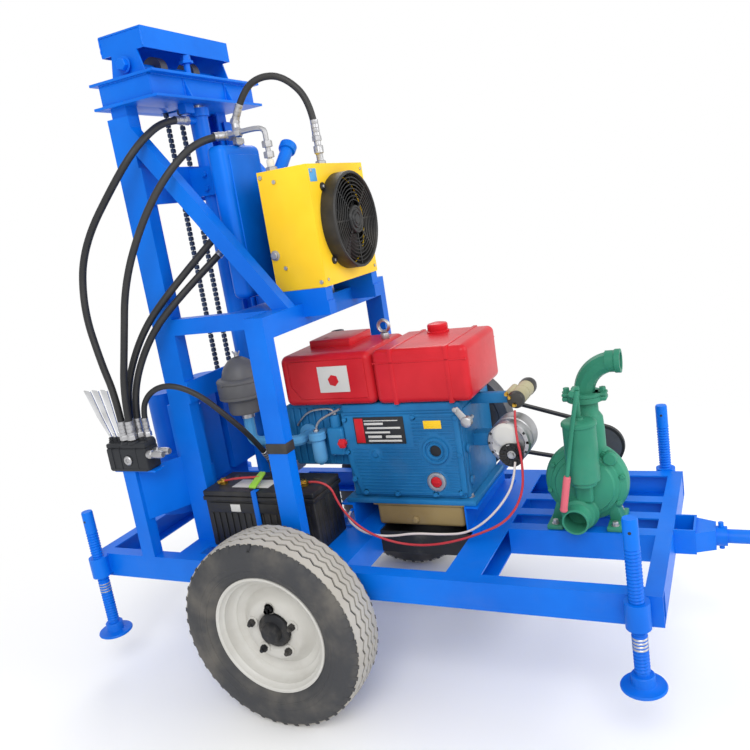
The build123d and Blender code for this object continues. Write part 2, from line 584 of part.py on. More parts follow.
# Water hopper with its tray and lifting ring, and the fuel tank with its filler cap
RING = (955.0, 100.0, 608.0)
with BuildPart() as hopper:
    block(HOPPER_X0, HOPPER_X1, -100, ENGINE_FAR, HEAD_TOP, 566)
    fillet(hopper.edges().filter_by(Axis.Y).group_by(Axis.X)[0], radius=28)
    block(715, 868, 20, 180, 560, 590)
    bar(RING[0], RING[1], 562, (0, 0, 1), 14, 24)
    bar(RING[0], RING[1] - 8, RING[2], (0, 1, 0), 24, 16)
    bar(RING[0], RING[1] - 9, RING[2], (0, 1, 0), 13, 18, mode=Mode.SUBTRACT)
hopper.part.label = "hopper"
export_step(hopper.part, "parts/hopper.step")

with BuildPart() as fuel_tank:
    block(HOPPER_X1 + 4, ENGINE_X1 + 46, -100, ENGINE_FAR, HEAD_TOP, 570)
    fillet(fuel_tank.edges().filter_by(Axis.X), radius=18)
    bar(1122, 145, 568, (0, 0, 1), 36, 34)
fuel_tank.part.label = "fuel_tank"
export_step(fuel_tank.part, "parts/fuel_tank.step")

with BuildPart() as flywheel:
    bar(CRANK[0], ENGINE_FAR + 14, CRANK[1], (0, 1, 0), FLYWHEEL_R, 62)
    bar(CRANK[0], ENGINE_FAR + 76, CRANK[1], (0, 1, 0), CRANK_PULLEY_R, 58)
    bar(CRANK[0], ENGINE_FAR + 8 + RUN_FIT, CRANK[1], (0, 1, 0), 32, 8)
flywheel.part.label = "flywheel"
export_step(flywheel.part, "parts/flywheel.step")

with BuildPart() as air_cleaner:
    bar(*CLEANER, 398, (0, 0, 1), 56, 62)
    bar(*CLEANER, 456, (0, 0, 1), CLEANER_R, 66)
    cone(*CLEANER, 522, (0, 0, 1), 62, 40, 58)
    cone(*CLEANER, 580, (0, 0, 1), 40, 12, 12)
    bar(*CLEANER, 592, (0, 0, 1), 7, 14)
air_cleaner.part.label = "air_cleaner"
export_step(air_cleaner.part, "parts/air_cleaner.step")

with BuildPart() as muffler:
    bar(700, 150, 330, (0, 1, 0), 22, 102)
    bar(700, 252, 280, (0, 0, 1), 46, 300)
muffler.part.label = "muffler"
export_step(muffler.part, "parts/muffler.step")

# Starter and generator at the engine's front end, each on its bracket
STARTER = (1398.0, -40.0, 382.0)
GENERATOR = (1370.0, -60.0, 262.0)
with BuildPart() as starter:
    bar(*STARTER, (0, 1, 0), 25, 175)
    cone(STARTER[0], STARTER[1] + 175, STARTER[2], (0, 1, 0), 25, 14, 12)
    block(ENGINE_X1, STARTER[0] - 8, 10, 40, 360, 396)
    fitting("cable_red", 5, 26, first=True)
starter.part.label = "starter"
export_step(starter.part, "parts/starter.step")

with BuildPart() as generator:
    bar(*GENERATOR, (0, 1, 0), 64, 110)
    bar(GENERATOR[0], GENERATOR[1] - 20, GENERATOR[2], (0, 1, 0), 30, 20)
    block(ENGINE_X1, GENERATOR[0] - 52, -20, 40, 236, 276)
    fitting("cable_white", 5, 26, first=True)
generator.part.label = "generator"
export_step(generator.part, "parts/generator.step")

with BuildPart() as hydraulic_pump:
    block(530, 600, -52, -9, 0, 150)
    block(524, 606, -60, 40, 150, 280)
    bar(HYDRAULIC[0], 40, HYDRAULIC[1], (0, 1, 0), 26, 246)
    fitting("hose_pump", 11, 116)
    bar(HYDRAULIC[0], 40, HYDRAULIC[1], (0, 1, 0), 10 + RUN_FIT, 250, mode=Mode.SUBTRACT)
hydraulic_pump.part.label = "hydraulic_pump"
export_step(hydraulic_pump.part, "parts/hydraulic_pump.step")

# Water pump: volute on feet, neck and flange, suction branch, priming cylinder and shaft bearing
with BuildPart() as mud_pump:
    bar(PUMP[0], -33, PUMP[1], (0, 1, 0), 118, 66)
    for x0, x1 in ((-113, -68), (55, 99)):
        block(PUMP[0] + x0, PUMP[0] + x1, -72, 70, 0, 14)
        block(PUMP[0] + (x0 + x1) / 2 - 8, PUMP[0] + (x0 + x1) / 2 + 8, -30, 30, 14, 90)
    bar(NECK_X, 0, PUMP[1], (0, 0, 1), 46, 196)
    bar(NECK_X, 0, 324, (0, 0, 1), 34, 48)
    block(NECK_X - 61, NECK_X + 61, -22, 22, 368, FLANGE_Z)
    bar(NECK_X, 0, 368, (0, 0, 1), 50, FLANGE_Z - 368)
    bar(SUCTION[0], -130, SUCTION[1], (0, 1, 0), 36, 100)
    bar(SUCTION[0], -72, SUCTION[1], (0, 1, 0), 48, 12)
    bar(SUCTION[0], -61, SUCTION[1] + 8, (0, 1, 0), 54, 31)
    bar(SUCTION[0], -131, SUCTION[1], (0, 1, 0), 31, 66, mode=Mode.SUBTRACT)
    bar(*PRIMER, 162, (0, 0, 1), 45, 176)
    bar(PUMP[0] + 76, -46, 210, (0, 1, 0), 18, 20)
    bar(PUMP[0], 33, PUMP[1], (0, 1, 0), 40, 157)
    block(PUMP[0] - 40, PUMP[0] + 40, 148, 189, 0, 100)
    bar(PUMP[0], 60, PUMP[1], (0, 1, 0), 15 + RUN_FIT, 140, mode=Mode.SUBTRACT)
mud_pump.part.label = "mud_pump"
export_step(mud_pump.part, "parts/mud_pump.step")

# Valve stand, valve bank with its hose ports, and levers
with BuildPart() as valve_stand:
    block(210, 261, -HALF_WIDTH, -HALF_WIDTH + 40, 0, VALVE_Z - 6)
    block(178, 345, -HALF_WIDTH, -HALF_WIDTH + 45, VALVE_Z - 6, VALVE_Z)
    with BuildSketch(Plane(origin=(REAR, 0, RAIL_TOP + 125))):
        with BuildLine():
            Polyline((261, -HALF_WIDTH + 14), (261, -HALF_WIDTH + 25), (MAST_X0, -MAST_Y + 11),
                     (MAST_X0, -MAST_Y), close=True)
        make_face()
    extrude(amount=VALVE_Z - 131)
valve_stand.part.label = "valve_stand"
export_step(valve_stand.part, "parts/valve_stand.step")

with BuildPart() as valve_bank:
    block(166, 330, -HALF_WIDTH - 10, -HALF_WIDTH + 55, VALVE_Z, VALVE_Z + VALVE_H)
    for y in (-HALF_WIDTH + 4, -HALF_WIDTH + 34):
        bar(330, y, VALVE_Z + 52, (1, 0, 0), 12, 58)
    for name in ("hose_return", "hose_feed_a", "hose_feed_b", "hose_pump"):
        fitting(name, 13, PORT_H, first=True)
    fitting("hose_lift", 13, PORT_H)
valve_bank.part.label = "valve_bank"
export_step(valve_bank.part, "parts/valve_bank.step")

with BuildPart() as valve_levers:
    for x, lean in ((176, -58), (195, -42), (214, -24), (233, -8)):
        foot, tip = VALVE_Z + VALVE_H, VALVE_Z + VALVE_H + 160
        prism([(x - 7, foot), (x + 7, foot), (x + lean + 7, tip), (x + lean - 7, tip)],
              -HALF_WIDTH + 19, -HALF_WIDTH + 24)
valve_levers.part.label = "valve_levers"
export_step(valve_levers.part, "parts/valve_levers.step")

# Driven pulleys and belts
for name, (centre, radius, y0, y1), shaft_r, shaft_y in (
    ("pump_pulley", BELTS[0], 15.0, 64.0),
    ("hydraulic_pulley", BELTS[1], 10.0, 60.0),
):
    with BuildPart() as pulley:
        bar(centre[0], y0, centre[1], (0, 1, 0), radius, y1 - y0)
        bar(centre[0], shaft_y, centre[1], (0, 1, 0), shaft_r, y1 + 14 - shaft_y)
    pulley.part.label = name
    export_step(pulley.part, f"parts/{name}.step")

with BuildPart() as belts:
    for centre, radius, y0, y1 in BELTS:
        side_view = Plane(origin=(REAR, y1, RAIL_TOP), x_dir=(1, 0, 0), z_dir=(0, -1, 0))
        for grow, mode in ((BELT_T, Mode.ADD), (BELT_GAP, Mode.SUBTRACT)):
            with BuildSketch(side_view):
                with Locations(CRANK):
                    Circle(CRANK_PULLEY_R + grow)
                with Locations(centre):
                    Circle(radius + grow)
                make_hull()
            extrude(amount=y1 - y0, mode=mode)
belts.part.label = "belts"
export_step(belts.part, "parts/belts.step")

# Priming rod with its hand lever, and the pump's outlet elbow
LEVER_Y = PRIMER[1] - 47
with BuildPart() as priming_lever:
    bar(*PRIMER, 338, (0, 0, 1), 9, 90)
    bar(PRIMER[0], PRIMER[1], 424, (0, -1, 0), 8, 47)
    prism([(PRIMER[0] + 9, 434), (PRIMER[0] - 7, 434), (PUMP[0] - 32, 192), (PUMP[0] - 55, 86),
           (PUMP[0] - 35, 84), (PUMP[0] - 16, 190)], LEVER_Y - 9, LEVER_Y)
priming_lever.part.label = "priming_lever"
export_step(priming_lever.part, "parts/priming_lever.step")

ELBOW_X = PUMP[0] + 121
with BuildPart() as outlet_elbow:
    with BuildLine():
        FilletPolyline((REAR + NECK_X, 0, RAIL_TOP + FLANGE_Z), (REAR + NECK_X, 0, RAIL_TOP + ELBOW_Z),
                       (REAR + ELBOW_X, 0, RAIL_TOP + ELBOW_Z), radius=56)
    with BuildSketch(Plane(origin=(REAR + NECK_X, 0, RAIL_TOP + FLANGE_Z))):
        Circle(ELBOW_R)
    sweep()
    bar(NECK_X, 0, FLANGE_Z, (0, 0, 1), 50, 10)
    block(NECK_X - 61, NECK_X + 61, -22, 22, FLANGE_Z, FLANGE_Z + 10)
    bar(ELBOW_X - 14, 0, ELBOW_Z, (1, 0, 0), ELBOW_R + 4, 14)
    bar(ELBOW_X - 40, 0, ELBOW_Z, (1, 0, 0), 23, 41, mode=Mode.SUBTRACT)
outlet_elbow.part.label = "outlet_elbow"
export_step(outlet_elbow.part, "parts/outlet_elbow.step")

# Engine intake pipe and fuel filter
INTAKE_X = 712.0
with BuildPart() as intake_pipe:
    with BuildLine():
        FilletPolyline((REAR + CLEANER[0], CLEANER[1], RAIL_TOP + 398),
                       (REAR + CLEANER[0], CLEANER[1], RAIL_TOP + INTAKE_Z),
                       (REAR + INTAKE_X, CLEANER[1], RAIL_TOP + INTAKE_Z),
                       (REAR + INTAKE_X, -60, RAIL_TOP + INTAKE_Z), radius=34)
    with BuildSketch(Plane(origin=(REAR + CLEANER[0], CLEANER[1], RAIL_TOP + 398))):
        Circle(18)
    sweep()
intake_pipe.part.label = "intake_pipe"
export_step(intake_pipe.part, "parts/intake_pipe.step")

with BuildPart() as fuel_filter:
    bar(766, -110, 212, (0, 0, 1), 22, 84)
    bar(766, -110, 296, (0, 0, 1), 28, 26)
    block(756, 776, -90, -60, 298, 318)
fuel_filter.part.label = "fuel_filter"
export_step(fuel_filter.part, "parts/fuel_filter.step")

# Hoses and cables
for cord_name, (radius, points) in CORDS.items():
    with BuildPart() as cord:
        with BuildLine() as path:
            cord_path(points)
        with BuildSketch(Plane(origin=path.line @ 0, z_dir=path.line % 0)):
            Circle(radius)
        sweep()
    cord.part.label = cord_name
    export_step(cord.part, f"parts/{cord_name}.step")
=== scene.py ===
"""Looks of a trailer-mounted water well drilling rig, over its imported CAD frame."""

import json
import math
from contextlib import contextmanager
from math import radians

import bpy
from bpy.props import FloatProperty, FloatVectorProperty, IntProperty, PointerProperty
from mathutils import Matrix, Vector


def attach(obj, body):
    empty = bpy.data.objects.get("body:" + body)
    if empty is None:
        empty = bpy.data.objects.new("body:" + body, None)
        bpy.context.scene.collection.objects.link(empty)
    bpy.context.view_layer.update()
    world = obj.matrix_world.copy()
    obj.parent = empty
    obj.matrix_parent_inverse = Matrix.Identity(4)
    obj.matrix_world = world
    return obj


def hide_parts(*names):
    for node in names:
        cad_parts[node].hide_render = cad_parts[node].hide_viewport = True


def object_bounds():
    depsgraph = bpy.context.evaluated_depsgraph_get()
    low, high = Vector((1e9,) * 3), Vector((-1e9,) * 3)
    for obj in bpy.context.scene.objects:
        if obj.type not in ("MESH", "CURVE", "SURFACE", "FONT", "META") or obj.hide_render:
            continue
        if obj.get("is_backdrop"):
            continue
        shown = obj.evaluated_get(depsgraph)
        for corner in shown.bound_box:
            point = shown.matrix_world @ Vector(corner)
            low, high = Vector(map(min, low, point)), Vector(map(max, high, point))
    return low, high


bl_info = {
    "name": "Water well drilling rig",
    "version": (1, 0, 0),
    "blender": (4, 5, 0),
    "location": "View3D > Sidebar > Rig",
    "description": "Builds the finishes and fine parts of a trailer-mounted drilling rig",
    "category": "Object",
}

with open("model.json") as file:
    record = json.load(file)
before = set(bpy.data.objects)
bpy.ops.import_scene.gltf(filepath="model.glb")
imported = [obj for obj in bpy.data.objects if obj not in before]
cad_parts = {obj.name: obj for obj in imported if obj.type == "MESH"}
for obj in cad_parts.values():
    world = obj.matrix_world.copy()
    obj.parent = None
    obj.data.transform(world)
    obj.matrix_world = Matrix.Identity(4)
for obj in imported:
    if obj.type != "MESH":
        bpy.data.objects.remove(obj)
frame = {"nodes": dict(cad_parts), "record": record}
CAD_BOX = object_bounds()
NODES = frame["nodes"]
SLOTS = {part["material_slot"] for part in frame["record"]["subparts"]}
OWNER = {node: body for body, nodes in frame["record"]["behaviour"]["bodies"].items() for node in nodes}

# The CAD drawing datum: rear end of the side rails, centre line, rail tops (metres)
REAR, RAIL_TOP = -1.235, 0.418


def at(x, y, z):
    """A point of the CAD drawing, given in millimetres from its datum, in metres."""
    return Vector((REAR + x / 1000, y / 1000, RAIL_TOP + z / 1000))


class Value:
    """A number that varies over the surface. Arithmetic on it adds Math nodes."""

    def __init__(self, finish, socket):
        self.finish, self.socket = finish, socket

    def _maths(self, operation, first, second, clamp=False):
        return self.finish.node("ShaderNodeMath", {"operation": operation, "use_clamp": clamp},
                                {0: first, 1: second})

    def __add__(self, other):
        return self._maths("ADD", self, other)

    def __radd__(self, other):
        return self._maths("ADD", other, self)

    def __rsub__(self, other):
        return self._maths("SUBTRACT", other, self)

    def __mul__(self, other):
        return self._maths("MULTIPLY", self, other)

    def held(self):
        """Kept between 0 and 1."""
        return self._maths("ADD", self, 0.0, clamp=True)


class Finish:
    """One material: a Principled shader and the nodes that feed it."""

    def __init__(self, name, **fixed):
        self.material = bpy.data.materials.new(name)
        self.material.use_nodes = True
        self.tree = self.material.node_tree
        self.tree.nodes.clear()
        self.output = self.tree.nodes.new("ShaderNodeOutputMaterial")
        self.shader = self.tree.nodes.new("ShaderNodeBsdfPrincipled")
        self.tree.links.new(self.shader.outputs[0], self.output.inputs[0])
        self.place = self.node("ShaderNodeTexCoord", output="Object")
        for socket, value in fixed.items():
            self.shader.inputs[socket.replace("_", " ").title().replace("Ior", "IOR")].default_value = value

    def node(self, kind, settings=None, sockets=None, output=0):
        made = self.tree.nodes.new(kind)
        for name, value in (settings or {}).items():
            if name == "stops":
                ramp = made.color_ramp.elements
                while len(ramp) < len(value):
                    ramp.new(0.5)
                for stop, (position, colour) in zip(ramp, value):
                    stop.position, stop.color = position, colour
            else:
                setattr(made, name, value)
        for key, value in (sockets or {}).items():
            socket = made.inputs[key]
            if isinstance(value, Value):
                self.tree.links.new(value.socket, socket)
            else:
                socket.default_value = value
        return Value(self, made.outputs[output])

    def noise(self, scale, detail=3.0, roughness=0.55, stretch=(1, 1, 1), output="Fac"):
        placed = self.node("ShaderNodeMapping", None, {"Vector": self.place, "Scale": stretch}, "Vector")
        return self.node("ShaderNodeTexNoise", None,
                         {"Vector": placed, "Scale": scale, "Detail": detail, "Roughness": roughness},
                         output)

    def axis(self, letter):
        return self.node("ShaderNodeSeparateXYZ", None, {0: self.place}, letter)

    def ramp(self, value, low, high):
        """0 below low, 1 above high, smooth between."""
        return self.node("ShaderNodeMapRange", {"interpolation_type": "SMOOTHSTEP"},
                         {"Value": value, "From Min": low, "From Max": high})

    def mix(self, factor, first, second):
        return self.node("ShaderNodeMix", {"data_type": "RGBA"}, {0: factor, 6: first, 7: second}, 2)

    def bump(self, height, strength, distance):
        return self.node("ShaderNodeBump", None,
                         {"Height": height, "Strength": strength, "Distance": distance}, "Normal")

    def feed(self, **inputs):
        for name, value in inputs.items():
            socket = self.shader.inputs[name.replace("_", " ").title()]
            if isinstance(value, Value):
                self.tree.links.new(value.socket, socket)
            else:
                socket.default_value = value
        return self.material


def rgb(red, green, blue):
    """A colour written as it looks on screen, 0 to 255, for a shader."""
    def linear(level):
        level /= 255
        return level / 12.92 if level <= 0.04045 else ((level + 0.055) / 1.055) ** 2.4
    return (linear(red), linear(green), linear(blue), 1.0)


DUST = rgb(150, 142, 128)


def enamel(name, colour, deep, gloss=0.28, dust=0.25):
    """Sprayed machine enamel: uneven depth, orange peel, scuffs and dust low down."""
    f = Finish(name, specular_ior_level=0.2)
    broad = f.noise(3.0, 4.0)
    fine = f.noise(60.0, 3.0)
    coat = f.mix(f.ramp(broad, 0.35, 0.7), colour, deep)
    low = 1.0 - f.ramp(f.axis("Z"), 0.15, 0.75)
    dirt = f.ramp(f.noise(9.0, 6.0, 0.65), 0.48, 0.75) * (low * 0.75 + 0.25) * dust
    skin = f.bump(f.noise(240.0, 2.0), 0.06, 0.0015)
    return f.feed(base_color=f.mix(dirt, coat, DUST), roughness=gloss + fine * 0.12 + dirt * 0.5,
                  normal=skin)


def bare_metal(name, colour, shine=0.35, metallic=1.0, grain=(1, 1, 12)):
    """Turned or drawn metal with fine lines and a little tarnish."""
    f = Finish(name)
    lines = f.noise(140.0, 2.0, 0.5, grain)
    stain = f.ramp(f.noise(14.0, 5.0), 0.45, 0.8)
    return f.feed(base_color=f.mix(stain * 0.5, colour,
                                   (colour[0] * 0.5, colour[1] * 0.48, colour[2] * 0.45, 1)),
                  metallic=metallic, roughness=shine + lines * 0.2 + stain * 0.15,
                  normal=f.bump(lines, 0.08, 0.0008))


def dull(name, colour, roughness=0.6, bump=0.12, scale=180.0, dust=0.12):
    """Moulded plastic or rubber with a fine grain."""
    f = Finish(name)
    grain = f.noise(scale, 3.0)
    cloud = f.noise(7.0, 4.0)
    return f.feed(base_color=f.mix(f.ramp(cloud, 0.4, 0.75) * dust, colour, DUST),
                  roughness=roughness + grain * 0.15, normal=f.bump(grain, bump, 0.0012))


def paint_shop():
    """Every finish of the rig, by its slot in the record."""
    return {
        "blue_paint": enamel("blue_enamel", rgb(0, 112, 224), rgb(0, 98, 206), 0.34, 0.05),
        "yellow_paint": enamel("yellow_enamel", rgb(250, 208, 50), rgb(242, 194, 36), dust=0.1),
        "red_paint": enamel("red_enamel", rgb(208, 40, 50), rgb(182, 26, 36), 0.24, 0.06),
        "engine_paint": enamel("engine_enamel", rgb(38, 122, 178), rgb(26, 98, 150), 0.34, 0.14),
        "pump_paint": enamel("pump_enamel", rgb(58, 142, 114), rgb(42, 118, 94), 0.38, 0.25),
        "black_paint": enamel("black_enamel", rgb(48, 50, 54), rgb(38, 39, 42), 0.4, 0.3),
        "black_plastic": dull("black_plastic", rgb(20, 21, 23), 0.42),
        "bright_steel": bare_metal("turned_steel", rgb(190, 190, 192), 0.35),
        "chrome": bare_metal("chrome_plate", rgb(225, 226, 228), 0.12),
        "iron": bare_metal("cast_iron", rgb(105, 106, 110), 0.5, 0.7, (1, 1, 1)),
        "sump_paint": enamel("sump_enamel", rgb(160, 138, 92), rgb(126, 106, 70), 0.4, 0.3),
        "rim_paint": enamel("rim_enamel", rgb(212, 211, 206), rgb(196, 194, 188), 0.32, 0.2),
        "tyre": dull("tyre_rubber", rgb(58, 59, 62), 0.7, 0.2, dust=0.3),
        "rubber": dull("hose_rubber", rgb(30, 31, 33), 0.45, 0.1, dust=0.05),
        "yellow_brass": bare_metal("brass", rgb(205, 165, 70), 0.3),
        "lime_plastic": dull("lime_plastic", rgb(150, 205, 60), 0.4, 0.05),
        "pink_grip": dull("pink_grip", rgb(214, 96, 110), 0.45, 0.05),
        "tread_dust": dull("worn_tread", rgb(176, 172, 164), 0.85, 0.2, 90.0, 0.3),
        "charcoal": enamel("charcoal_enamel", rgb(118, 118, 118), rgb(92, 92, 94), 0.36, 0.2),
        "khaki": enamel("khaki_enamel", rgb(186, 180, 146), rgb(160, 152, 120), 0.35, 0.3),
        "chain_steel": bare_metal("chain_steel", rgb(70, 84, 110), 0.42, 0.8),
        "red_cable": dull("red_insulation", rgb(190, 40, 52), 0.45, 0.05),
        "white_cable": dull("white_insulation", rgb(215, 205, 200), 0.45, 0.05),
        "pipe_paint": enamel("pipe_enamel", rgb(95, 165, 215), rgb(75, 145, 195), 0.35, 0.3),
    }


FINISHES = {}


def dress(obj, slot_name):
    obj.data.materials.clear()
    obj.data.materials.append(FINISHES[slot_name])
    return obj


# Directions of the drawing
NEAR, FAR = (0, -1, 0), (0, 1, 0)
UP, DOWN = (0, 0, 1), (0, 0, -1)
FORWARD, REARWARD = (1, 0, 0), (-1, 0, 0)


# Modelling helpers: every measure in them is in the drawing's millimetres

def pick(obj):
    bpy.ops.object.select_all(action="DESELECT")
    obj.select_set(True)
    bpy.context.view_layer.objects.active = obj


@contextmanager
def editing(obj, kind="VERT"):
    """The whole mesh selected in edit mode."""
    pick(obj)
    bpy.ops.object.mode_set(mode="EDIT")
    bpy.ops.mesh.select_mode(type=kind)
    bpy.ops.mesh.select_all(action="SELECT")
    yield
    bpy.ops.object.mode_set(mode="OBJECT")


def fresh(name, points, edges=(), faces=()):
    """New mesh from points of the drawing."""
    mesh = bpy.data.meshes.new(name)
    mesh.from_pydata([at(*point) for point in points], edges, faces)
    obj = bpy.data.objects.new(name, mesh)
    bpy.context.collection.objects.link(obj)
    return obj


def upright(y, *pairs):
    """Points at (x, z) pairs of the side view, all at one y."""
    return [(x, y, z) for x, z in pairs]


def smooth(obj, angle=35):
    """Faces turned outward, and soft shading except across sharp edges."""
    with editing(obj):
        bpy.ops.mesh.normals_make_consistent(inside=False)
    pick(obj)
    bpy.ops.object.shade_smooth_by_angle(angle=radians(angle))
    return obj


def bevelled(obj, width, segments=2):
    if width:
        with editing(obj, "EDGE"):
            bpy.ops.mesh.bevel(offset=width / 1000, segments=segments, affect="EDGES")
    return smooth(obj)


def block(name, x, y, z, bevel=2.0, segments=2):
    """Box between (low, high) pairs, its edges rounded."""
    bpy.ops.mesh.primitive_cube_add(size=1, location=(0, 0, 0))
    obj = bpy.context.object
    obj.name = name
    for vertex in obj.data.vertices:
        vertex.co = at(*(pair[corner > 0] for pair, corner in zip((x, y, z), vertex.co)))
    return bevelled(obj, bevel, segments)


def slab(name, corners, move, bevel=2.0, segments=2):
    """One flat outline of corners, drawn out by a movement, its edges rounded."""
    obj = fresh(name, corners, faces=[range(len(corners))])
    with editing(obj, "FACE"):
        bpy.ops.mesh.extrude_region_move(
            TRANSFORM_OT_translate={"value": [step / 1000 for step in move]})
    return bevelled(obj, bevel, segments)


def turned(name, base, along, profile, steps=40):
    """(radius, height) pairs spun about the line that runs along a direction from a base point."""
    axis = Vector(along).normalized()
    side = axis.orthogonal().normalized()
    points = [Vector(base) + side * radius + axis * height for radius, height in profile]
    obj = fresh(name, points, edges=[(i, i + 1) for i in range(len(points) - 1)])
    with editing(obj):
        bpy.ops.mesh.spin(steps=steps, angle=2 * math.pi, center=at(*base), axis=axis)
        bpy.ops.mesh.remove_doubles(threshold=0.00002)
    return smooth(obj)


def drum(name, base, along, radius, length, edge=2.0, steps=32):
    """Closed round bar with its rims rounded."""
    edge = min(edge, radius * 0.5, abs(length) * 0.4)
    return turned(name, base, along, [
        (0, 0), (radius - edge, 0), (radius - edge * 0.3, edge * 0.3), (radius, edge),
        (radius, length - edge), (radius - edge * 0.3, length - edge * 0.3),
        (radius - edge, length), (0, length)], steps)


def ringed(obj, count, centre, along):
    """The mesh copied round an axis, count times in all."""
    with editing(obj):
        bpy.ops.mesh.spin(steps=count, angle=2 * math.pi, center=at(*centre), axis=Vector(along),
                          dupli=True)
        bpy.ops.mesh.remove_doubles(threshold=0.000001)
    return obj


def moved(obj, name, matrix):
    """A copy with its own mesh, moved within the drawing."""
    made = obj.copy()
    made.data = obj.data.copy()
    made.name = made.data.name = name
    bpy.context.collection.objects.link(made)
    made.data.transform(matrix)
    return made


def shifted(obj, name, x, y, z):
    return moved(obj, name, Matrix.Translation(Vector((x, y, z)) / 1000))


def mirrored(obj, name):
    """A copy on the other side of the centre line."""
    made = moved(obj, name, Matrix.Scale(-1, 4, FAR))
    return smooth(made)


def joined(name, objs):
    bpy.ops.object.select_all(action="DESELECT")
    for obj in objs:
        obj.select_set(True)
    bpy.context.view_layer.objects.active = objs[0]
    bpy.ops.object.join()
    objs[0].name = objs[0].data.name = name
    return objs[0]


def fit(obj, slot_name, *nodes, body=None):
    """Paint a piece, tie it to its body, and let it stand for CAD nodes where it does.

    A piece that stands for no node and names no body is fixed to the chassis.
    """
    dress(obj, slot_name)
    slot_name in SLOTS
    if nodes:
        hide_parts(*nodes)
    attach(obj, body or (OWNER[nodes[0]] if nodes else "chassis"))
    return obj


def hexagon(name, base, along, across, length):
    """Bolt head or nut: six flats, with a round face on top."""
    radius = across / 2 / math.cos(math.pi / 6)
    return turned(name, base, along, [(0, 0), (radius, 0), (radius, length * 0.85),
                                      (radius * 0.88, length), (0, length)], 6)


def pipe(name, radius, points, steps=6):
    """Thin rigid pipe along a smooth line through points."""
    curve = bpy.data.curves.new(name, "CURVE")
    curve.dimensions = "3D"
    curve.bevel_depth = radius / 1000
    curve.bevel_resolution = 3
    spline = curve.splines.new("NURBS")
    spline.points.add(len(points) - 1)
    for point, place in zip(spline.points, points):
        point.co = (*at(*place), 1)
    spline.order_u = 3
    spline.use_endpoint_u = True
    spline.resolution_u = steps
    obj = bpy.data.objects.new(name, curve)
    bpy.context.collection.objects.link(obj)
    pick(obj)
    bpy.ops.object.convert(target="MESH")
    return smooth(bpy.context.object)


def weld(start, end):
    """Uneven bead of weld from one point to another."""
    start, end = Vector(start), Vector(end)
    count = max(3, int((end - start).length / 5))
    points = [start.lerp(end, i / count) + Vector((math.sin(i * 2.1), math.sin(i * 1.7),
                                                   math.sin(i * 2.6))) * 0.9
              for i in range(count + 1)]
    return pipe("weld", 2.4, points, 2)


def spans(height, low, high, gaps):
    """Stretches of a level line between low and high that keep clear of round gaps."""
    cuts = []
    for x, z, radius in gaps:
        if abs(height - z) < radius:
            reach = math.sqrt(radius ** 2 - (height - z) ** 2)
            cuts += [x - reach, x + reach]
    edges = [low, *sorted(cuts), high]
    return [(a, b) for a, b in zip(edges[::2], edges[1::2]) if b - a > 8]


def bolts(name, places, along, across=13, length=7):
    """Washers and bolt heads on a face, one at each place."""
    made = []
    for place in places:
        made.append(drum("washer", place, along, across * 0.75, 2, 0.5, 20))
        made.append(hexagon("head", Vector(place) + Vector(along) * 2, along, across, length))
    return joined(name, made)


# The photograph's camera, in metres and radians
CAMERA_PLACE = (0.7589, -2.0766, 1.3896)
CAMERA_TURN = (1.3559225, 0.1527808, 0.4335740)


# Settings

class RigStage(bpy.types.PropertyGroup):
    lens: FloatProperty(name="Lens", description="Focal length of the camera", default=36.154,
                        min=10, max=200)
    world: FloatProperty(name="Sky", description="Strength of the even light all round", default=0.75,
                         min=0, max=5)
    key: FloatProperty(name="Key lamp", description="Power of the large lamp in front", default=150,
                       min=0, max=2000, subtype="POWER")
    floor: FloatVectorProperty(name="Floor", description="Colour of the floor and backdrop",
                               default=(0.95, 0.95, 0.95), subtype="COLOR", min=0, max=1)


class RigSizes(bpy.types.PropertyGroup):
    lugs: IntProperty(name="Tread steps", description="Zigzag steps round the tyre", default=46,
                      min=12, max=120)
    thread: FloatProperty(name="Thread pitch", description="Distance between the jack's threads",
                          default=0.009, min=0.004, max=0.02, unit="LENGTH")
    fins: IntProperty(name="Cooler fins", description="Upright fins that show in the core", default=40,
                      min=8, max=80)


# Shared places of the drawing

AXLE = (770, -130)
TYRE_MID = 493.5
WHEEL_BOLTS = 5
# Oil cooler: low and high x, y and z of its housing, and the height of the fan's axis
COOLER = (758, 926, -176, 180, 780, 1128)
FAN_Z = 956
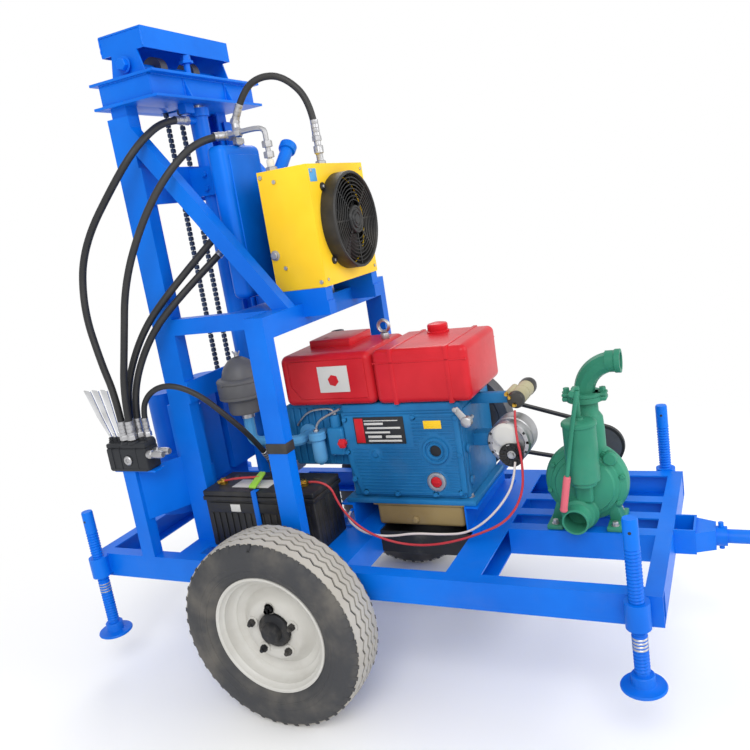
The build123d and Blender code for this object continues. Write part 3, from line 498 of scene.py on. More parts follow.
# Outer face of the engine's gear cover, and the centres of the crank hole and oil filler on it
GEAR_COVER = -98
CRANK, FILLER = (1159, GEAR_COVER, 253), (1149, GEAR_COVER, 155)
JACKS = (
    # node, x, y, foot height
    ("jack_rear_near", 40, -429, -275),
    ("jack_rear_far", 40, 429, -240),
    ("jack_front_near", 1745, -429, -227),
    ("jack_front_far", 1745, 429, -221),
)
CORDS = (
    # name, slot, radius, length, stiffness, corners of its runs
    ("hose_return", "rubber", 11.0, 1.034, "stiff", ((278, -395, 420), (278, -395, 530),
        (325, -388, 700), (365, -372, 880), (455, -345, 1045), (545, -305, 1165), (612, -211, 1252),
        (650, -136, 1252))),
    ("hose_cooler", "rubber", 10.0, 0.401, "stiff", ((674, -99, 1302), (707, -92, 1368),
        (765, -80, 1401), (838, -65, 1388), (905, -50, 1307), (905, -50, 1215))),
    ("hose_lift", "rubber", 11.0, 1.166, "stiff", ((467, -83, 1332), (467, -165, 1332),
        (462, -290, 1268), (400, -345, 1180), (225, -365, 1000), (190, -385, 820), (222, -395, 645),
        (248, -395, 540), (248, -395, 420))),
    ("hose_feed_a", "rubber", 11.0, 0.715, "stiff", ((252, -362, 420), (252, -362, 520),
        (325, -335, 690), (420, -282, 815), (590, -165, 985))),
    ("hose_feed_b", "rubber", 11.0, 0.668, "stiff", ((282, -362, 420), (282, -362, 520),
        (355, -335, 680), (450, -282, 795), (590, -150, 935))),
    ("hose_pump", "rubber", 9.0, 0.644, "stiff", ((312, -362, 420), (312, -362, 478),
        (340, -361, 526), (388, -354, 553), (445, -341, 551), (512, -318, 510), (558, -280, 436),
        (588, -214, 345), (580, -130, 243))),
    ("cable_red", "red_cable", 3.5, 1.025, "medium", ((1398, -48, 356), (1402, -84, 306),
        (1424, -120, 228), (1420, -140, 135), (1374, -168, 65), (1285, -186, 28), (1195, -200, 4),
        (1105, -203, -8), (1015, -213, 6), (932, -224, 48), (876, -230, 118), (852, -233, 207),
        (784, -232, 200))),
    ("cable_white", "white_cable", 3.5, 0.711, "medium", ((1388, -72, 208),
        (1388, -105, 160), (1358, -130, 108), (1308, -155, 58), (1248, -172, 24), (1170, -182, 22),
        (1090, -190, 26), (1010, -197, 14), (935, -203, 22), (884, -190, 45), (858, -165, 60),
        (850, -128, 58))),
)


# Operators

class RIG_OT_stage(bpy.types.Operator):
    """Set up the camera, the lamps and the pale floor"""
    bl_idname = "rig.stage"
    bl_label = "Stage"

    def execute(self, context):
        context.scene.view_settings.view_transform = "Standard"
        self.camera(context)
        self.floor(context)
        self.lamps(context)
        self.sky(context)
        return {"FINISHED"}

    def camera(self, context):
        bpy.ops.object.camera_add(location=CAMERA_PLACE, rotation=CAMERA_TURN)
        camera = context.object
        camera.name = "photo_camera"
        camera.data.lens = context.scene.rig_stage.lens
        camera.data.sensor_width = 36
        camera.data.sensor_fit = "HORIZONTAL"
        camera.data.clip_start = 0.05
        context.scene.camera = camera

    def floor(self, context):
        """A pale floor that fades to white away from the rig, where only the eye sees it."""
        bpy.ops.mesh.primitive_plane_add(size=60, location=(0, 0, 0))
        floor = context.object
        floor.name = "floor"
        ground = Finish("floor_paint")
        ground.feed(base_color=(*context.scene.rig_stage.floor, 1.0), roughness=0.9)
        glow = ground.node("ShaderNodeEmission", None, {"Color": (1, 1, 1, 1)})
        reach = ground.node("ShaderNodeVectorMath", {"operation": "LENGTH"}, {0: ground.place}, "Value")
        rays = [ground.node("ShaderNodeLightPath", output=ray)
                for ray in ("Is Camera Ray", "Is Glossy Ray", "Is Transmission Ray")]
        seen = (rays[0] + rays[1] + rays[2]).held()
        white = ground.node("ShaderNodeMixShader", None, {0: ground.ramp(reach, 1.3, 2.6) * seen, 2: glow})
        ground.tree.links.new(ground.shader.outputs[0], white.socket.node.inputs[1])
        ground.tree.links.new(white.socket, ground.output.inputs[0])
        floor.data.materials.append(ground.material)
        floor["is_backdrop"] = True

    def lamps(self, context):
        aim, size = Vector((0, 0, 0.8)), 3.0
        lamps = (
            # name, place, share of the key lamp's power
            ("key", (1.6, -4.2, 4.2), 1.0),
            ("fill", (4.0, 0.5, 2.6), 0.55),
            ("rim", (-2.5, 3.5, 4.5), 0.5),
        )
        for name, place, share in lamps:
            bpy.ops.object.light_add(type="AREA", location=place)
            lamp = context.object
            lamp.name = name + "_lamp"
            lamp.rotation_euler = (aim - Vector(place)).to_track_quat("-Z", "Y").to_euler()
            lamp.data.size = size
            lamp.data.energy = context.scene.rig_stage.key * share

    def sky(self, context):
        """Even light all round, and plain white where the camera looks past the floor."""
        world = bpy.data.worlds.new("studio")
        context.scene.world = world
        world.use_nodes = True
        tree = world.node_tree
        light = tree.nodes["Background"]
        light.inputs[0].default_value = (1, 1, 1, 1)
        light.inputs[1].default_value = context.scene.rig_stage.world
        backdrop = tree.nodes.new("ShaderNodeBackground")
        path = tree.nodes.new("ShaderNodeLightPath")
        both = tree.nodes.new("ShaderNodeMixShader")
        tree.links.new(path.outputs["Is Camera Ray"], both.inputs[0])
        tree.links.new(light.outputs[0], both.inputs[1])
        tree.links.new(backdrop.outputs[0], both.inputs[2])
        tree.links.new(both.outputs[0], tree.nodes["World Output"].inputs[0])
        backdrop.inputs[0].default_value = (1, 1, 1, 1)
        backdrop.inputs[1].default_value = 1.0


class RIG_OT_finishes(bpy.types.Operator):
    """Mix every paint and put each CAD piece in its own"""
    bl_idname = "rig.finishes"
    bl_label = "Finishes"

    def execute(self, context):
        FINISHES.update(paint_shop())
        for part in frame["record"]["subparts"]:
            dress(NODES[part["node"]], part["material_slot"])
        return {"FINISHED"}


class RIG_OT_wheels(bpy.types.Operator):
    """Model the tyres with their tread, the disc rims and the hubs"""
    bl_idname = "rig.wheels"
    bl_label = "Wheels"

    def execute(self, context):
        hub = (AXLE[0], -TYRE_MID, AXLE[1])
        carcass, tread = self.tyre(hub, context.scene.rig_sizes.lugs)
        rim, hubs = self.disc(hub)
        for obj, slot_name, node, part in (
                (carcass, "tyre", "tyre", "rubber"), (tread, "tread_dust", None, "tread"),
                (rim, "rim_paint", "rim", "disc"), (hubs, "black_paint", None, "hub")):
            other = mirrored(obj, f"{node or 'rim'}_far_{part}")
            for piece, side in ((obj, "near"), (other, "far")):
                fit(piece, slot_name, *([f"{node}_{side}"] if node else []), body=f"wheel_{side}")
        return {"FINISHED"}

    def tyre(self, hub, steps):
        """Carcass with its shoulder lugs, and the zigzag ribs of the tread."""
        half = [(281.5, 0), (281, 40), (279, 58), (273, 66), (263, 72), (251, 76), (238, 78),
                (226, 77.6), (224, 78.4), (221, 78.2), (220, 77), (206, 73.4), (204, 74.4), (201, 73.6),
                (200, 71.8), (190, 67), (182, 61), (177, 56)]
        carcass = turned("tyre_near_carcass", hub, NEAR,
                         [(r, -h) for r, h in reversed(half)] + half[1:] + [(177, -56)], 96)
        ribs = (
            # low edge, high edge across the tread, radii there, zigzag of each edge
            (-60, -38, 281, 284.5, 2, 5), (-31, -13.5, 285, 286.8, 5, 5), (-7, 7, 287.2, 287.2, 5, 5),
            (13.5, 31, 286.8, 285, 5, 5), (38, 60, 284.5, 281, 5, 2),
        )
        points, faces = [], []
        for low, high, r_low, r_high, wave_low, wave_high in ribs:
            first = len(points)
            for step in range(steps * 2):
                turn = math.pi * step / steps
                wave = 1 if step % 2 else -1
                for across, radius, amount in ((low, r_low, wave_low), (high, r_high, wave_high)):
                    points.append((hub[0] + radius * math.cos(turn), hub[1] - across - wave * amount,
                                   hub[2] + radius * math.sin(turn)))
            count = steps * 4
            for step in range(steps * 2):
                a = first + 2 * step
                b = first + (2 * step + 2) % count
                faces.append((a, a + 1, b + 1, b))
        tread = fresh("tyre_near_tread", points, faces=faces)
        with editing(tread, "FACE"):
            bpy.ops.mesh.normals_make_consistent(inside=False)
            bpy.ops.mesh.extrude_region_shrink_fatten(
                TRANSFORM_OT_shrink_fatten={"value": -0.0065})
        smooth(tread, 25)
        lugs = []
        for side in (-1, 1):
            y = hub[1] - side * 66
            lug = slab("lug", [(hub[0] + x, y + side * across, hub[2] + z) for x, across, z in (
                (-6, 6, 281), (6, 6, 281), (5, -5.5, 261), (-5, -5.5, 261))],
                       (0, -side * 1.2, 1.4), 0)
            lugs.append(ringed(lug, steps, hub, NEAR))
        return joined("tyre_near_rubber", [carcass, *lugs]), tread

    def disc(self, hub):
        """Pressed disc and rim with five bolt bosses, and the hub cap with its wheel nuts."""
        rim = turned("rim_near_disc", hub, NEAR, [
            (178, 55), (177, 60), (172, 61), (168, 58), (165, 48), (159, 43), (157, 28), (151, 17),
            (146, 13), (140, 11), (137, 6), (128, 1), (118, -2), (110, 3), (101, 13), (92, 25), (86, 29),
            (62, 30), (56, 27), (50, 20), (46, 16), (96, -2), (118, -12), (146, 0), (150, -44),
            (158, -52), (166, -56), (172, -61), (177, -60), (178, -55), (178, 55)], 72)
        bolt = (hub[0], hub[1] - 29, hub[2] + 70)
        boss = drum("boss", bolt, NEAR, 17, 4, 2)
        rim = joined("rim_near_disc", [rim, ringed(boss, WHEEL_BOLTS, hub, NEAR)])
        nuts = ringed(joined("nut", [hexagon("nut", (bolt[0], bolt[1] - 4, bolt[2]), NEAR, 19, 12),
                                     drum("stud", (bolt[0], bolt[1] - 12, bolt[2]), NEAR, 6, 12, 1, 16)]),
                      WHEEL_BOLTS, hub, NEAR)
        cap = turned("cap", hub, NEAR, [(0, 58), (20, 58), (27, 55), (30, 50), (31, 38), (40, 35),
                                       (47, 33), (50, 30), (50, 20), (0, 20)], 36)
        return rim, joined("rim_near_hub", [cap, nuts])


class RIG_OT_jacks(bpy.types.Operator):
    """Model the screw jacks: threads, bare collar band, hub and foot disc"""
    bl_idname = "rig.jacks"
    bl_label = "Jacks"

    def execute(self, context):
        pitch = context.scene.rig_sizes.thread * 1000
        for node, x, y, foot in JACKS:
            profile = [(0, 38), (17, 38)]
            height, top = 46, 362
            while height < top:
                profile += [(15.6, height), (18.8, height + pitch * 0.35), (18.8, height + pitch * 0.6)]
                height += pitch
            profile += [(18.2, top + 8), (18.2, 434), (16.5, 438.5), (0, 438.5)]
            screw = turned(node + "_screw", (x, y, foot), UP, profile, 28)
            disc = turned(node + "_foot", (x, y, foot), UP, [
                (0, 0), (51, 0), (54.5, 3), (55, 6), (53, 9.5), (34, 10), (29, 12), (27.8, 15),
                (27.8, 36), (26, 38), (0, 38)], 48)
            # black disc on the screw: painted shade of its cross hole
            hole = drum("hole", (x, y - 18.4, foot + 408), FAR, 4, 1.5, 0.2, 20)
            low, profile = -88 - foot - 4 * pitch, []
            for step in range(4):
                profile += [(15.9, low), (18.9, low + pitch * 0.35), (18.9, low + pitch * 0.6),
                            (15.9, low + pitch)]
                low += pitch
            bare = turned(node + "_bare", (x, y, foot), UP, profile, 28)
            fit(bare, "bright_steel", body=node)
            fit(joined(node + "_screw", [screw, disc]), "blue_paint", node)
            fit(hole, "black_paint", body=node).name = node + "_hole"
        return {"FINISHED"}


class RIG_OT_cords(bpy.types.Operator):
    """Lay the hoses and cables along their runs, with crimped ends"""
    bl_idname = "rig.cords"
    bl_label = "Hoses and cables"

    def execute(self, context):
        ends = []
        for name, slot_name, radius, length, stiffness, corners in CORDS:
            curve = bpy.data.curves.new(name + "_run", "CURVE")
            curve.dimensions = "3D"
            curve.bevel_depth = radius / 1000
            curve.bevel_resolution = 5
            spline = curve.splines.new("NURBS")
            spline.points.add(len(corners) - 1)
            for point, corner in zip(spline.points, corners):
                point.co = (*at(*corner), 1)
            spline.order_u = 3
            spline.use_endpoint_u = True
            spline.resolution_u = 14
            run = bpy.data.objects.new(name + "_run", curve)
            context.collection.objects.link(run)
            fit(run, slot_name, name)
            at(*corners[0])
            if slot_name != "rubber":
                continue
            for end, inner in ((corners[0], corners[1]), (corners[-1], corners[-2])):
                along = (Vector(inner) - Vector(end)).normalized()
                base = Vector(end) - along * 6
                # how far the crimped ferrule stands out from the hose, and where
                crimps = ((2, 0), (2, 8), (0.6, 9), (1.8, 11), (1.8, 20), (0.9, 21), (1.8, 22), (1.8, 32),
                          (0.9, 33), (1.6, 34), (1.6, 44), (0, 45))
                profile = [(0, 0)] + [(radius + out, height) for out, height in crimps]
                ends.append(turned("ferrule", base, along, profile, 28))
                ends.append(hexagon("swivel", base - along * 15, along, 2 * radius + 5, 15))
        ends.append(turned("cooler_nipple", (905, -50, 1212), DOWN, [
            (0, 0), (10, 0), (10, 30), (12, 32), (14, 36), (14, 52), (11, 55), (10, 58), (10, 84),
            (0, 84)], 28))
        ends.append(hexagon("cooler_nut", (905, -50, 1180), DOWN, 26, 18))
        ends.append(pipe("tank_link", 8, [(655, -134, 1252), (700, -136, 1254), (764, -139, 1254),
                                          (789, -140, 1247), (790, -140, 1220), (790, -140, 1164)], 10))
        ends.append(hexagon("link_nut", (690, -135, 1254), FORWARD, 25, 16))
        for z in (1166, 1196):
            ends.append(hexagon("link_nut", (790, -140, z), UP, 27, 18))
        fit(joined("hose_ends", ends), "bright_steel")
        return {"FINISHED"}


class RIG_OT_cooler(bpy.types.Operator):
    """Model the oil cooler's housing, its core, the fan guard and the fan"""
    bl_idname = "rig.cooler"
    bl_label = "Oil cooler and fan"

    def execute(self, context):
        self.housing()
        self.core(context.scene.rig_sizes.fins)
        self.screws()
        self.guard()
        self.rotor()
        return {"FINISHED"}

    def housing(self):
        """Sheet-metal box with the fan's round mouth cut in its front."""
        x0, x1, y0, y1, z0, z1 = COOLER
        mouth_r, steps, inner = 134, 64, x1 - 4
        corners = [(inner, y0 + 1, z0 + 1), (inner, y1 - 1, z0 + 1), (inner, y1 - 1, z1 - 1),
                   (inner, y0 + 1, z1 - 1)]
        turns = [math.tau * i / steps for i in range(steps)]
        mouth = [(inner, mouth_r * math.cos(turn), FAN_Z + mouth_r * math.sin(turn)) for turn in turns]
        edges = [(i, (i + 1) % 4) for i in range(4)] + [(4 + i, 4 + (i + 1) % steps) for i in range(steps)]
        front = fresh("front", corners + mouth, edges=edges)
        with editing(front, "EDGE"):
            bpy.ops.mesh.fill()
            bpy.ops.mesh.select_all(action="SELECT")
            bpy.ops.mesh.extrude_region_move(TRANSFORM_OT_translate={"value": (0.004, 0, 0)})
        smooth(front)
        walls = [
            front,
            block("wall", (x0, x1 - 2), (y0, y0 + 4), (z0, z1), 1.5),
            block("wall", (x0, x1 - 2), (y1 - 4, y1), (z0, z1), 1.5),
            block("wall", (x0, x1 - 2), (y0 + 3, y1 - 3), (z0, z0 + 24), 1.5),
            block("wall", (x0, x1 - 2), (y0 + 3, y1 - 3), (z1 - 24, z1), 1.5),
            block("wall", (x0 + 42, x0 + 104), (y0 + 3, y0 + 26), (z0 + 22, z1 - 22), 1.5),
            block("wall", (x0 + 42, x0 + 104), (y1 - 26, y1 - 3), (z0 + 22, z1 - 22), 1.5),
        ]
        fit(joined("cooler_housing", walls), "yellow_paint", "cooler")

    def core(self, count):
        """Upright fins across level tubes."""
        x0, x1, y0, y1, z0, z1 = COOLER
        fin = block("fin", (x0 + 46, x0 + 100), (-149, -148), (z0 + 26, z1 - 24), 0)
        pitch = 302 / count
        fins = [fin] + [shifted(fin, "fin", 0, pitch * i, 0) for i in range(1, count)]
        tubes = [block("tube", (x0 + 48, x0 + 98), (-150, 154), (z0 + 30 + 20 * i, z0 + 33 + 20 * i), 0.5)
                 for i in range(15)]
        fit(joined("cooler_core", fins + tubes), "black_paint")

    def screws(self):
        """Bolts, screws, plug and port nuts of the housing, with its cap and sticker."""
        x0, x1, y0, y1, z0, z1 = COOLER
        places = upright(y0, (813, 1094), (803, 848), (770, 1112), (914, 796))
        small = [hexagon("bolt", place, NEAR, 11, 5) for place in places]
        small += [drum("screw", (x1, y, z), FORWARD, 5, 3, 1, 16) for y in (-158, 162) for z in (800, 1108)]
        small += [
            turned("plug", (774, y0, 888), NEAR, [
                (0, 0), (15, 0), (15, 2), (11, 3), (11, 9), (9, 11), (0, 11)], 24),
            hexagon("port_nut", (790, -140, z1 - 4), UP, 30, 16),
            hexagon("port_nut", (905, -50, z1 - 4), UP, 28, 14)]
        fit(joined("cooler_bolts", small), "bright_steel")
        fit(drum("port_cap", (790, -140, z1), UP, 11, 34, 4), "rim_paint")
        fit(block("sticker", (x1 - 0.5, x1 + 0.8), (-168, -128), (1078, 1114), 0.2), "pipe_paint")

    def guard(self):
        """Ring, wires, spokes and hub plate over the fan, with a black funnel behind them: a dark sheet
        that paints the shade inside the housing.
        """
        x1 = COOLER[1]
        hub = (x1, 0, FAN_Z)
        out = FORWARD
        guard = [turned("ring", hub, out, [(134, 0), (134, 42), (136, 45.5), (141, 45.5), (143.5, 42),
                                           (143.5, 0), (134, 0)], 72)]
        for radius in range(58, 134, 11):
            guard.append(turned("wire", hub, out, [(radius + 1.6, 41), (radius, 42.6), (radius - 1.6, 41),
                                                   (radius, 39.4), (radius + 1.6, 41)], 56))
        spoke = block("spoke", (x1 + 36, x1 + 40), (-2.5, 2.5), (FAN_Z + 40, FAN_Z + 136), 0.8)
        guard.append(ringed(spoke, 8, hub, out))
        guard.append(turned("hub", hub, out, [
            (0, 46), (14, 46), (16, 43), (20, 43), (22, 46), (26, 46), (28, 42), (34, 42), (36, 45),
            (40, 45), (43, 40), (43, 30), (0, 30)], 48))
        for turn in (45, 135, 225, 315):
            y, z = 150 * math.cos(radians(turn)), 150 * math.sin(radians(turn))
            guard.append(drum("tab", (x1 - 0.2, y, FAN_Z + z), out, 12, 5, 1, 20))
        # black funnel: painted shade, a dark sheet that hides the yellow walls inside the housing
        guard.append(turned("shade_funnel", hub, REARWARD, [(132, 5), (136, 12), (148, 30), (150, 58), (148, 58),
                                                        (146, 31), (134, 13), (130, 5), (132, 5)], 64))
        fit(joined("fan_guard", guard), "black_plastic", "fan_shroud")
        fit(ringed(drum("tab_screw", (x1 + 4, 106, FAN_Z + 106), out, 5, 4, 1, 16), 4, hub, out),
            "bright_steel")

    def rotor(self):
        x1 = COOLER[1]
        hub = (x1, 0, FAN_Z)
        root, tip = FAN_Z + 26, FAN_Z + 126
        blade = slab("blade", [(x1 - 17, 8, root), (x1 - 17, 26, tip), (x1 + 16, -22, tip),
                               (x1 + 16, -14, root)],
                     (2, 2, 0), 0.6)
        blades = ringed(blade, 7, hub, FORWARD)
        core = turned("core", (x1 - 18, 0, FAN_Z), FORWARD, [
            (0, 0), (34, 0), (34, 34), (30, 38), (0, 38)], 40)
        fit(joined("fan_blades", [blades, core]), "black_plastic", "fan_rotor")


class RIG_OT_tanks(bpy.types.Operator):
    """Model the red water hopper and fuel tank, and the blue oil tank"""
    bl_idname = "rig.tanks"
    bl_label = "Tanks"

    def execute(self, context):
        hopper = [
            block("body", (662, 985), (-97.5, 200), (400, 566), 24, 6),
            block("trough", (715, 868), (20, 180), (560, 588), 6, 4),
            block("rim", (716, 867), (21, 179), (582, 590), 3, 3),
            slab("panel", upright(-96, (964, 424), (964, 548), (694, 548), (694, 470), (728, 424)),
                 (0, -4, 0), 3, 3),
            drum("spout", (760, 60, 584), UP, 9, 6, 1, 20),
        ]
        fit(joined("hopper_shell", hopper), "red_paint", "hopper")
        ring = turned("lifting_ring", (955, 100, 608), FAR, [
            (24, 0), (22, 5.5), (18.5, 8), (15, 5.5), (13, 0), (15, -5.5), (18.5, -8), (22, -5.5),
            (24, 0)], 40)
        stem = drum("stem", (955, 100, 562), UP, 14, 24, 4)
        fit(joined("lifting_ring", [ring, stem]), "bright_steel")
        fuel = [
            block("tank", (989, 1291), (-98.5, 200), (400, 568), 20, 6),
            block("seam", (992, 1288), (-100, 199), (526, 531), 1.6, 2),
            block("strap", (1046, 1060), (-100, 199.5), (399, 569.5), 1.5, 2),
            block("strap", (1222, 1236), (-100, 199.5), (399, 569.5), 1.5, 2),
            turned("neck", (1122, 145, 564), UP, [(0, 0), (34, 0), (36, 4), (36, 8), (30, 11), (0, 11)],
                   36),
        ]
        fit(joined("fuel_tank_shell", fuel), "red_paint", "fuel_tank")
        cap = turned("fuel_cap", (1122, 145, 574), UP, [
            (0, 0), (31, 0), (33, 3), (33, 17), (30, 21), (12, 25), (0, 25)], 36)
        fit(cap, "red_paint")
        front = block("front", (606, 670), (-194, 11), (772, 1226), 22, 6)
        panel = block("panel", (668, 673.5), (-168, -14), (800, 1196), 2.4, 3)
        main = block("main", (622, 752), (0, 185), (740, 1110), 14, 4)
        up = (0, 0.72, 0.69)
        neck = turned("neck", (700, 12, 1103), up, [(0, 0), (30, 0), (30, 8), (20, 12), (20, 140),
                                                    (26, 142), (28, 146), (28, 166), (25, 169), (12, 171),
                                                    (0, 171)], 36)
        tee = [drum("tee", (668, -100, 1222), UP, 12, 74, 3),
               hexagon("tee_nut", (668, -100, 1226), UP, 30, 16)]
        fit(joined("oil_tank_shell", [front, panel, main, neck]), "blue_paint", "oil_tank")
        fit(joined("tank_tee", tee), "bright_steel")
        return {"FINISHED"}


class RIG_OT_engine(bpy.types.Operator):
    """Model the engine: crankcase, ribbed gear cover, cylinder, head and small parts"""
    bl_idname = "rig.engine"
    bl_label = "Engine"

    def execute(self, context):
        self.casting()
        self.openings()
        self.plates()
        self.screws()
        self.pipes()
        self.knob()
        self.sump_and_flywheel()
        return {"FINISHED"}

    def casting(self):
        """Crankcase with its ribbed cover, cylinder, head and fuel pump."""
        cover = upright(-82, (858, 368), (1243, 368), (1241, 236), (1229, 106), (884, 106), (858, 214))
        rim = upright(-82, (852, 374), (1245, 374), (1245, 236), (1234, 98), (880, 98), (852, 214))
        body = [
            block("flange", (830, 1265), (-106, 200), (80, 96), 3),
            block("crankcase", (850, 1245), (-83, 200), (94, 399), 9, 3),
            slab("rim", rim, (0, -7, 0), 1.6),
            slab("cover", cover, (0, -18, 0), 7, 4),
            block("cylinder", (640, 852), (-60, 150), (190, 399), 8, 3),
            block("rocker_box", (616, 642), (-50, 140), (200, 390), 8, 3),
            block("end_cover", (1243, 1249), (-62, 90), (120, 372), 4, 2),
            block("side_rib", (1225, 1243), (-104, -96), (120, 358), 3, 2),
            turned("crank_boss", CRANK, NEAR, [
                (0, 3), (18, 3), (19, 8), (25, 9), (27, 5), (31, 5), (33, 10), (40, 10), (42, 7),
                (42, 0)], 44),
            turned("filler", FILLER, NEAR, [(0, 3), (35, 3), (38, 0)], 36),
            turned("relief", (958, GEAR_COVER, 244), NEAR, [(0, 8), (9, 8), (12, 3), (20, 1), (22, 0)], 24),
        ]
        gaps = ((*CRANK[::2], 54), (*FILLER[::2], 40), (958, 244, 24))
        for height in range(118, 362, 11):
            low = 872 + max(0, (214 - height) * 0.24)
            if height > 268:
                low = 1084
            for x0, x1 in spans(height, low + 8, 1232 - max(0, (236 - height) * 0.1), gaps):
                body.append(block("rib", (x0, x1), (GEAR_COVER - 4.6, GEAR_COVER),
                                  (height - 1.7, height + 1.7), 1.2))
        for x in range(656, 846, 26):
            body.append(block("rib", (x, x + 7), (-66, -58), (200, 386), 2))
        for z in (150, 250, 340):
            body.append(drum("pad", (1246, -66, z), FORWARD, 13, 8, 2))
        body += [
            drum("injector", (668, 40, 396), UP, 12, 8, 2),
            block("fuel_pump", (800, 856), (-108, -60), (240, 330), 8, 3),
            drum("pump_barrel", (826, -84, 326), UP, 17, 44, 3),
            block("bracket", (1243, 1330), (-10, 40), (236, 276), 4, 2),
            block("bracket", (1243, 1372), (12, 38), (362, 394), 4, 2),
        ]
        fit(joined("engine_casting", body), "engine_paint", "engine_block")

    def openings(self):
        """Black disc painted as the shade inside the crank hole, the black name plate, and the oil filler
        with its cap.
        """
        fit(joined("engine_flats", [
            # black disc: painted shade inside the crank hole
            drum("crank_hole_shade", (CRANK[0], -100.8, CRANK[2]), NEAR, 17.5, 1, 0.2),
            block("name_plate", (899, 1068), (-103.4, -100), (277, 363), 1),
        ]), "black_paint")
        fill_x, _, fill_z = FILLER
        fit(turned("filler_ring", (fill_x, -100, fill_z), NEAR, [
            (17, 0), (30, 0), (31, 3), (29, 7), (24, 8), (18, 7), (17, 0)], 40), "bright_steel")
        grip = block("grip", (fill_x - 13, fill_x + 13), (-110, -104), (fill_z - 4, fill_z + 4), 2)
        cap = drum("cap", (fill_x, -100, fill_z), NEAR, 17, 6, 2)
        fit(joined("filler_cap", [cap, grip]), "red_paint")

    def plates(self):
        """Blank fields on the name plate and the label, and the small stickers."""
        rows = [(936, 1050, 350, 353), (936, 1000, 338, 345), (944, 1056, 325, 331), (936, 1020, 311, 317),
                (944, 990, 296, 304), (1004, 1056, 296, 304), (944, 1056, 284, 290)]
        fit(joined("plate_fields", [block("field", (x0, x1), (-104.2, -103), (z0, z1), 0.2)
                                    for x0, x1, z0, z1 in rows]
                   + [block("label", (801, 906), (-102.4, -99), (446, 529), 0.8)]), "rim_paint")
        fit(joined("plate_band", [block("band", (903, 932), (-104.1, -103), (281, 359), 0.2),
                                  drum("label_mark", (853, -102, 484), NEAR, 19, 1, 0.3, 6)]),
            "red_paint")
        fit(joined("sticker", [block("sticker", (1132, 1188), (-103.2, -102.4), (323, 348), 0.2)]),
            "yellow_paint")

    def screws(self):
        round_cover = upright(GEAR_COVER, (868, 356), (862, 250), (872, 159), (905, 116), (1013, 113),
                              (1140, 113), (1222, 120), (1233, 241), (1234, 356), (1100, 360))
        fit(bolts("cover_bolts", round_cover, NEAR, 13, 8), "engine_paint")
        studs = bolts("flange_bolts", [(x, -70, 96) for x in (880, 1013, 1140, 1240)], UP, 15, 9)
        fit(studs, "bright_steel")

    def pipes(self):
        """Throttle lever on its rod, and the fuel pipes with their unions."""
        outline = upright(-112, (1232, 386), (1250, 392), (1284, 350), (1280, 338), (1264, 336))
        arm = slab("throttle", outline, (0, -5, 0), 1.6)
        fit(joined("throttle_arm", [
            arm,
            turned("hub", (1272, -116, 346), NEAR, [
                (0, 9), (9, 9), (15, 6), (17, 0), (17, -10), (0, -10)], 28),
            drum("pin", (1242, -116, 384), NEAR, 7, 6, 1),
            drum("rod", (1272, -60, 346), NEAR, 6, 50, 1),
            pipe("injection_pipe", 3.5, [(826, -84, 368), (824, -84, 386), (790, -80, 388), (730, -74, 380),
                                         (690, -70, 350), (672, -66, 330)]),
            pipe("fuel_pipe", 4, [(766, -112, 322), (770, -112, 350), (810, -104, 372), (860, -104, 392)]),
            drum("union", (826, -84, 366), UP, 9, 10, 2, 16),
            drum("union", (766, -112, 318), UP, 9, 12, 2, 16),
        ]), "bright_steel")

    def knob(self):
        """Red stop knob with six petals, on its rod."""
        x, z = 864, 288
        petal = drum("petal", (x + 9, -124, z), NEAR, 7, 12, 3, 14)
        knob = joined("stop_knob", [ringed(petal, 6, (x, -124, z), FAR),
                                    drum("knob", (x, -118, z), NEAR, 12, 20, 3, 24)])
        fit(knob, "red_paint")
        fit(drum("knob_rod", (x, -80, z), NEAR, 5, 42, 1), "bright_steel")

    def sump_and_flywheel(self):
        pan = [block("pan", (930, 1218), (-96, 150), (4, 80), 12, 4),
               block("lip", (922, 1226), (-102, 156), (74, 80), 1.5),
               turned("drain", (1060, -95, 26), NEAR, [(0, 10), (8, 10), (12, 7), (12, 0)], 6)]
        fit(joined("sump_pan", pan), "sump_paint", "oil_sump")
        wheel = turned("flywheel_disc", (1112, 214, 237), FAR, [
            (0, -6), (32, -6), (34, 4), (150, 6), (156, 0), (186, 0), (188, 3), (188, 59), (186, 62),
            (158, 62), (154, 46), (92, 44), (90, 62), (84, 66), (90, 72), (84, 78), (90, 84), (80, 92),
            (90, 100), (84, 106), (90, 112), (88, 119), (30, 119), (28, 110), (0, 110)], 64)
        fit(wheel, "iron", "flywheel")


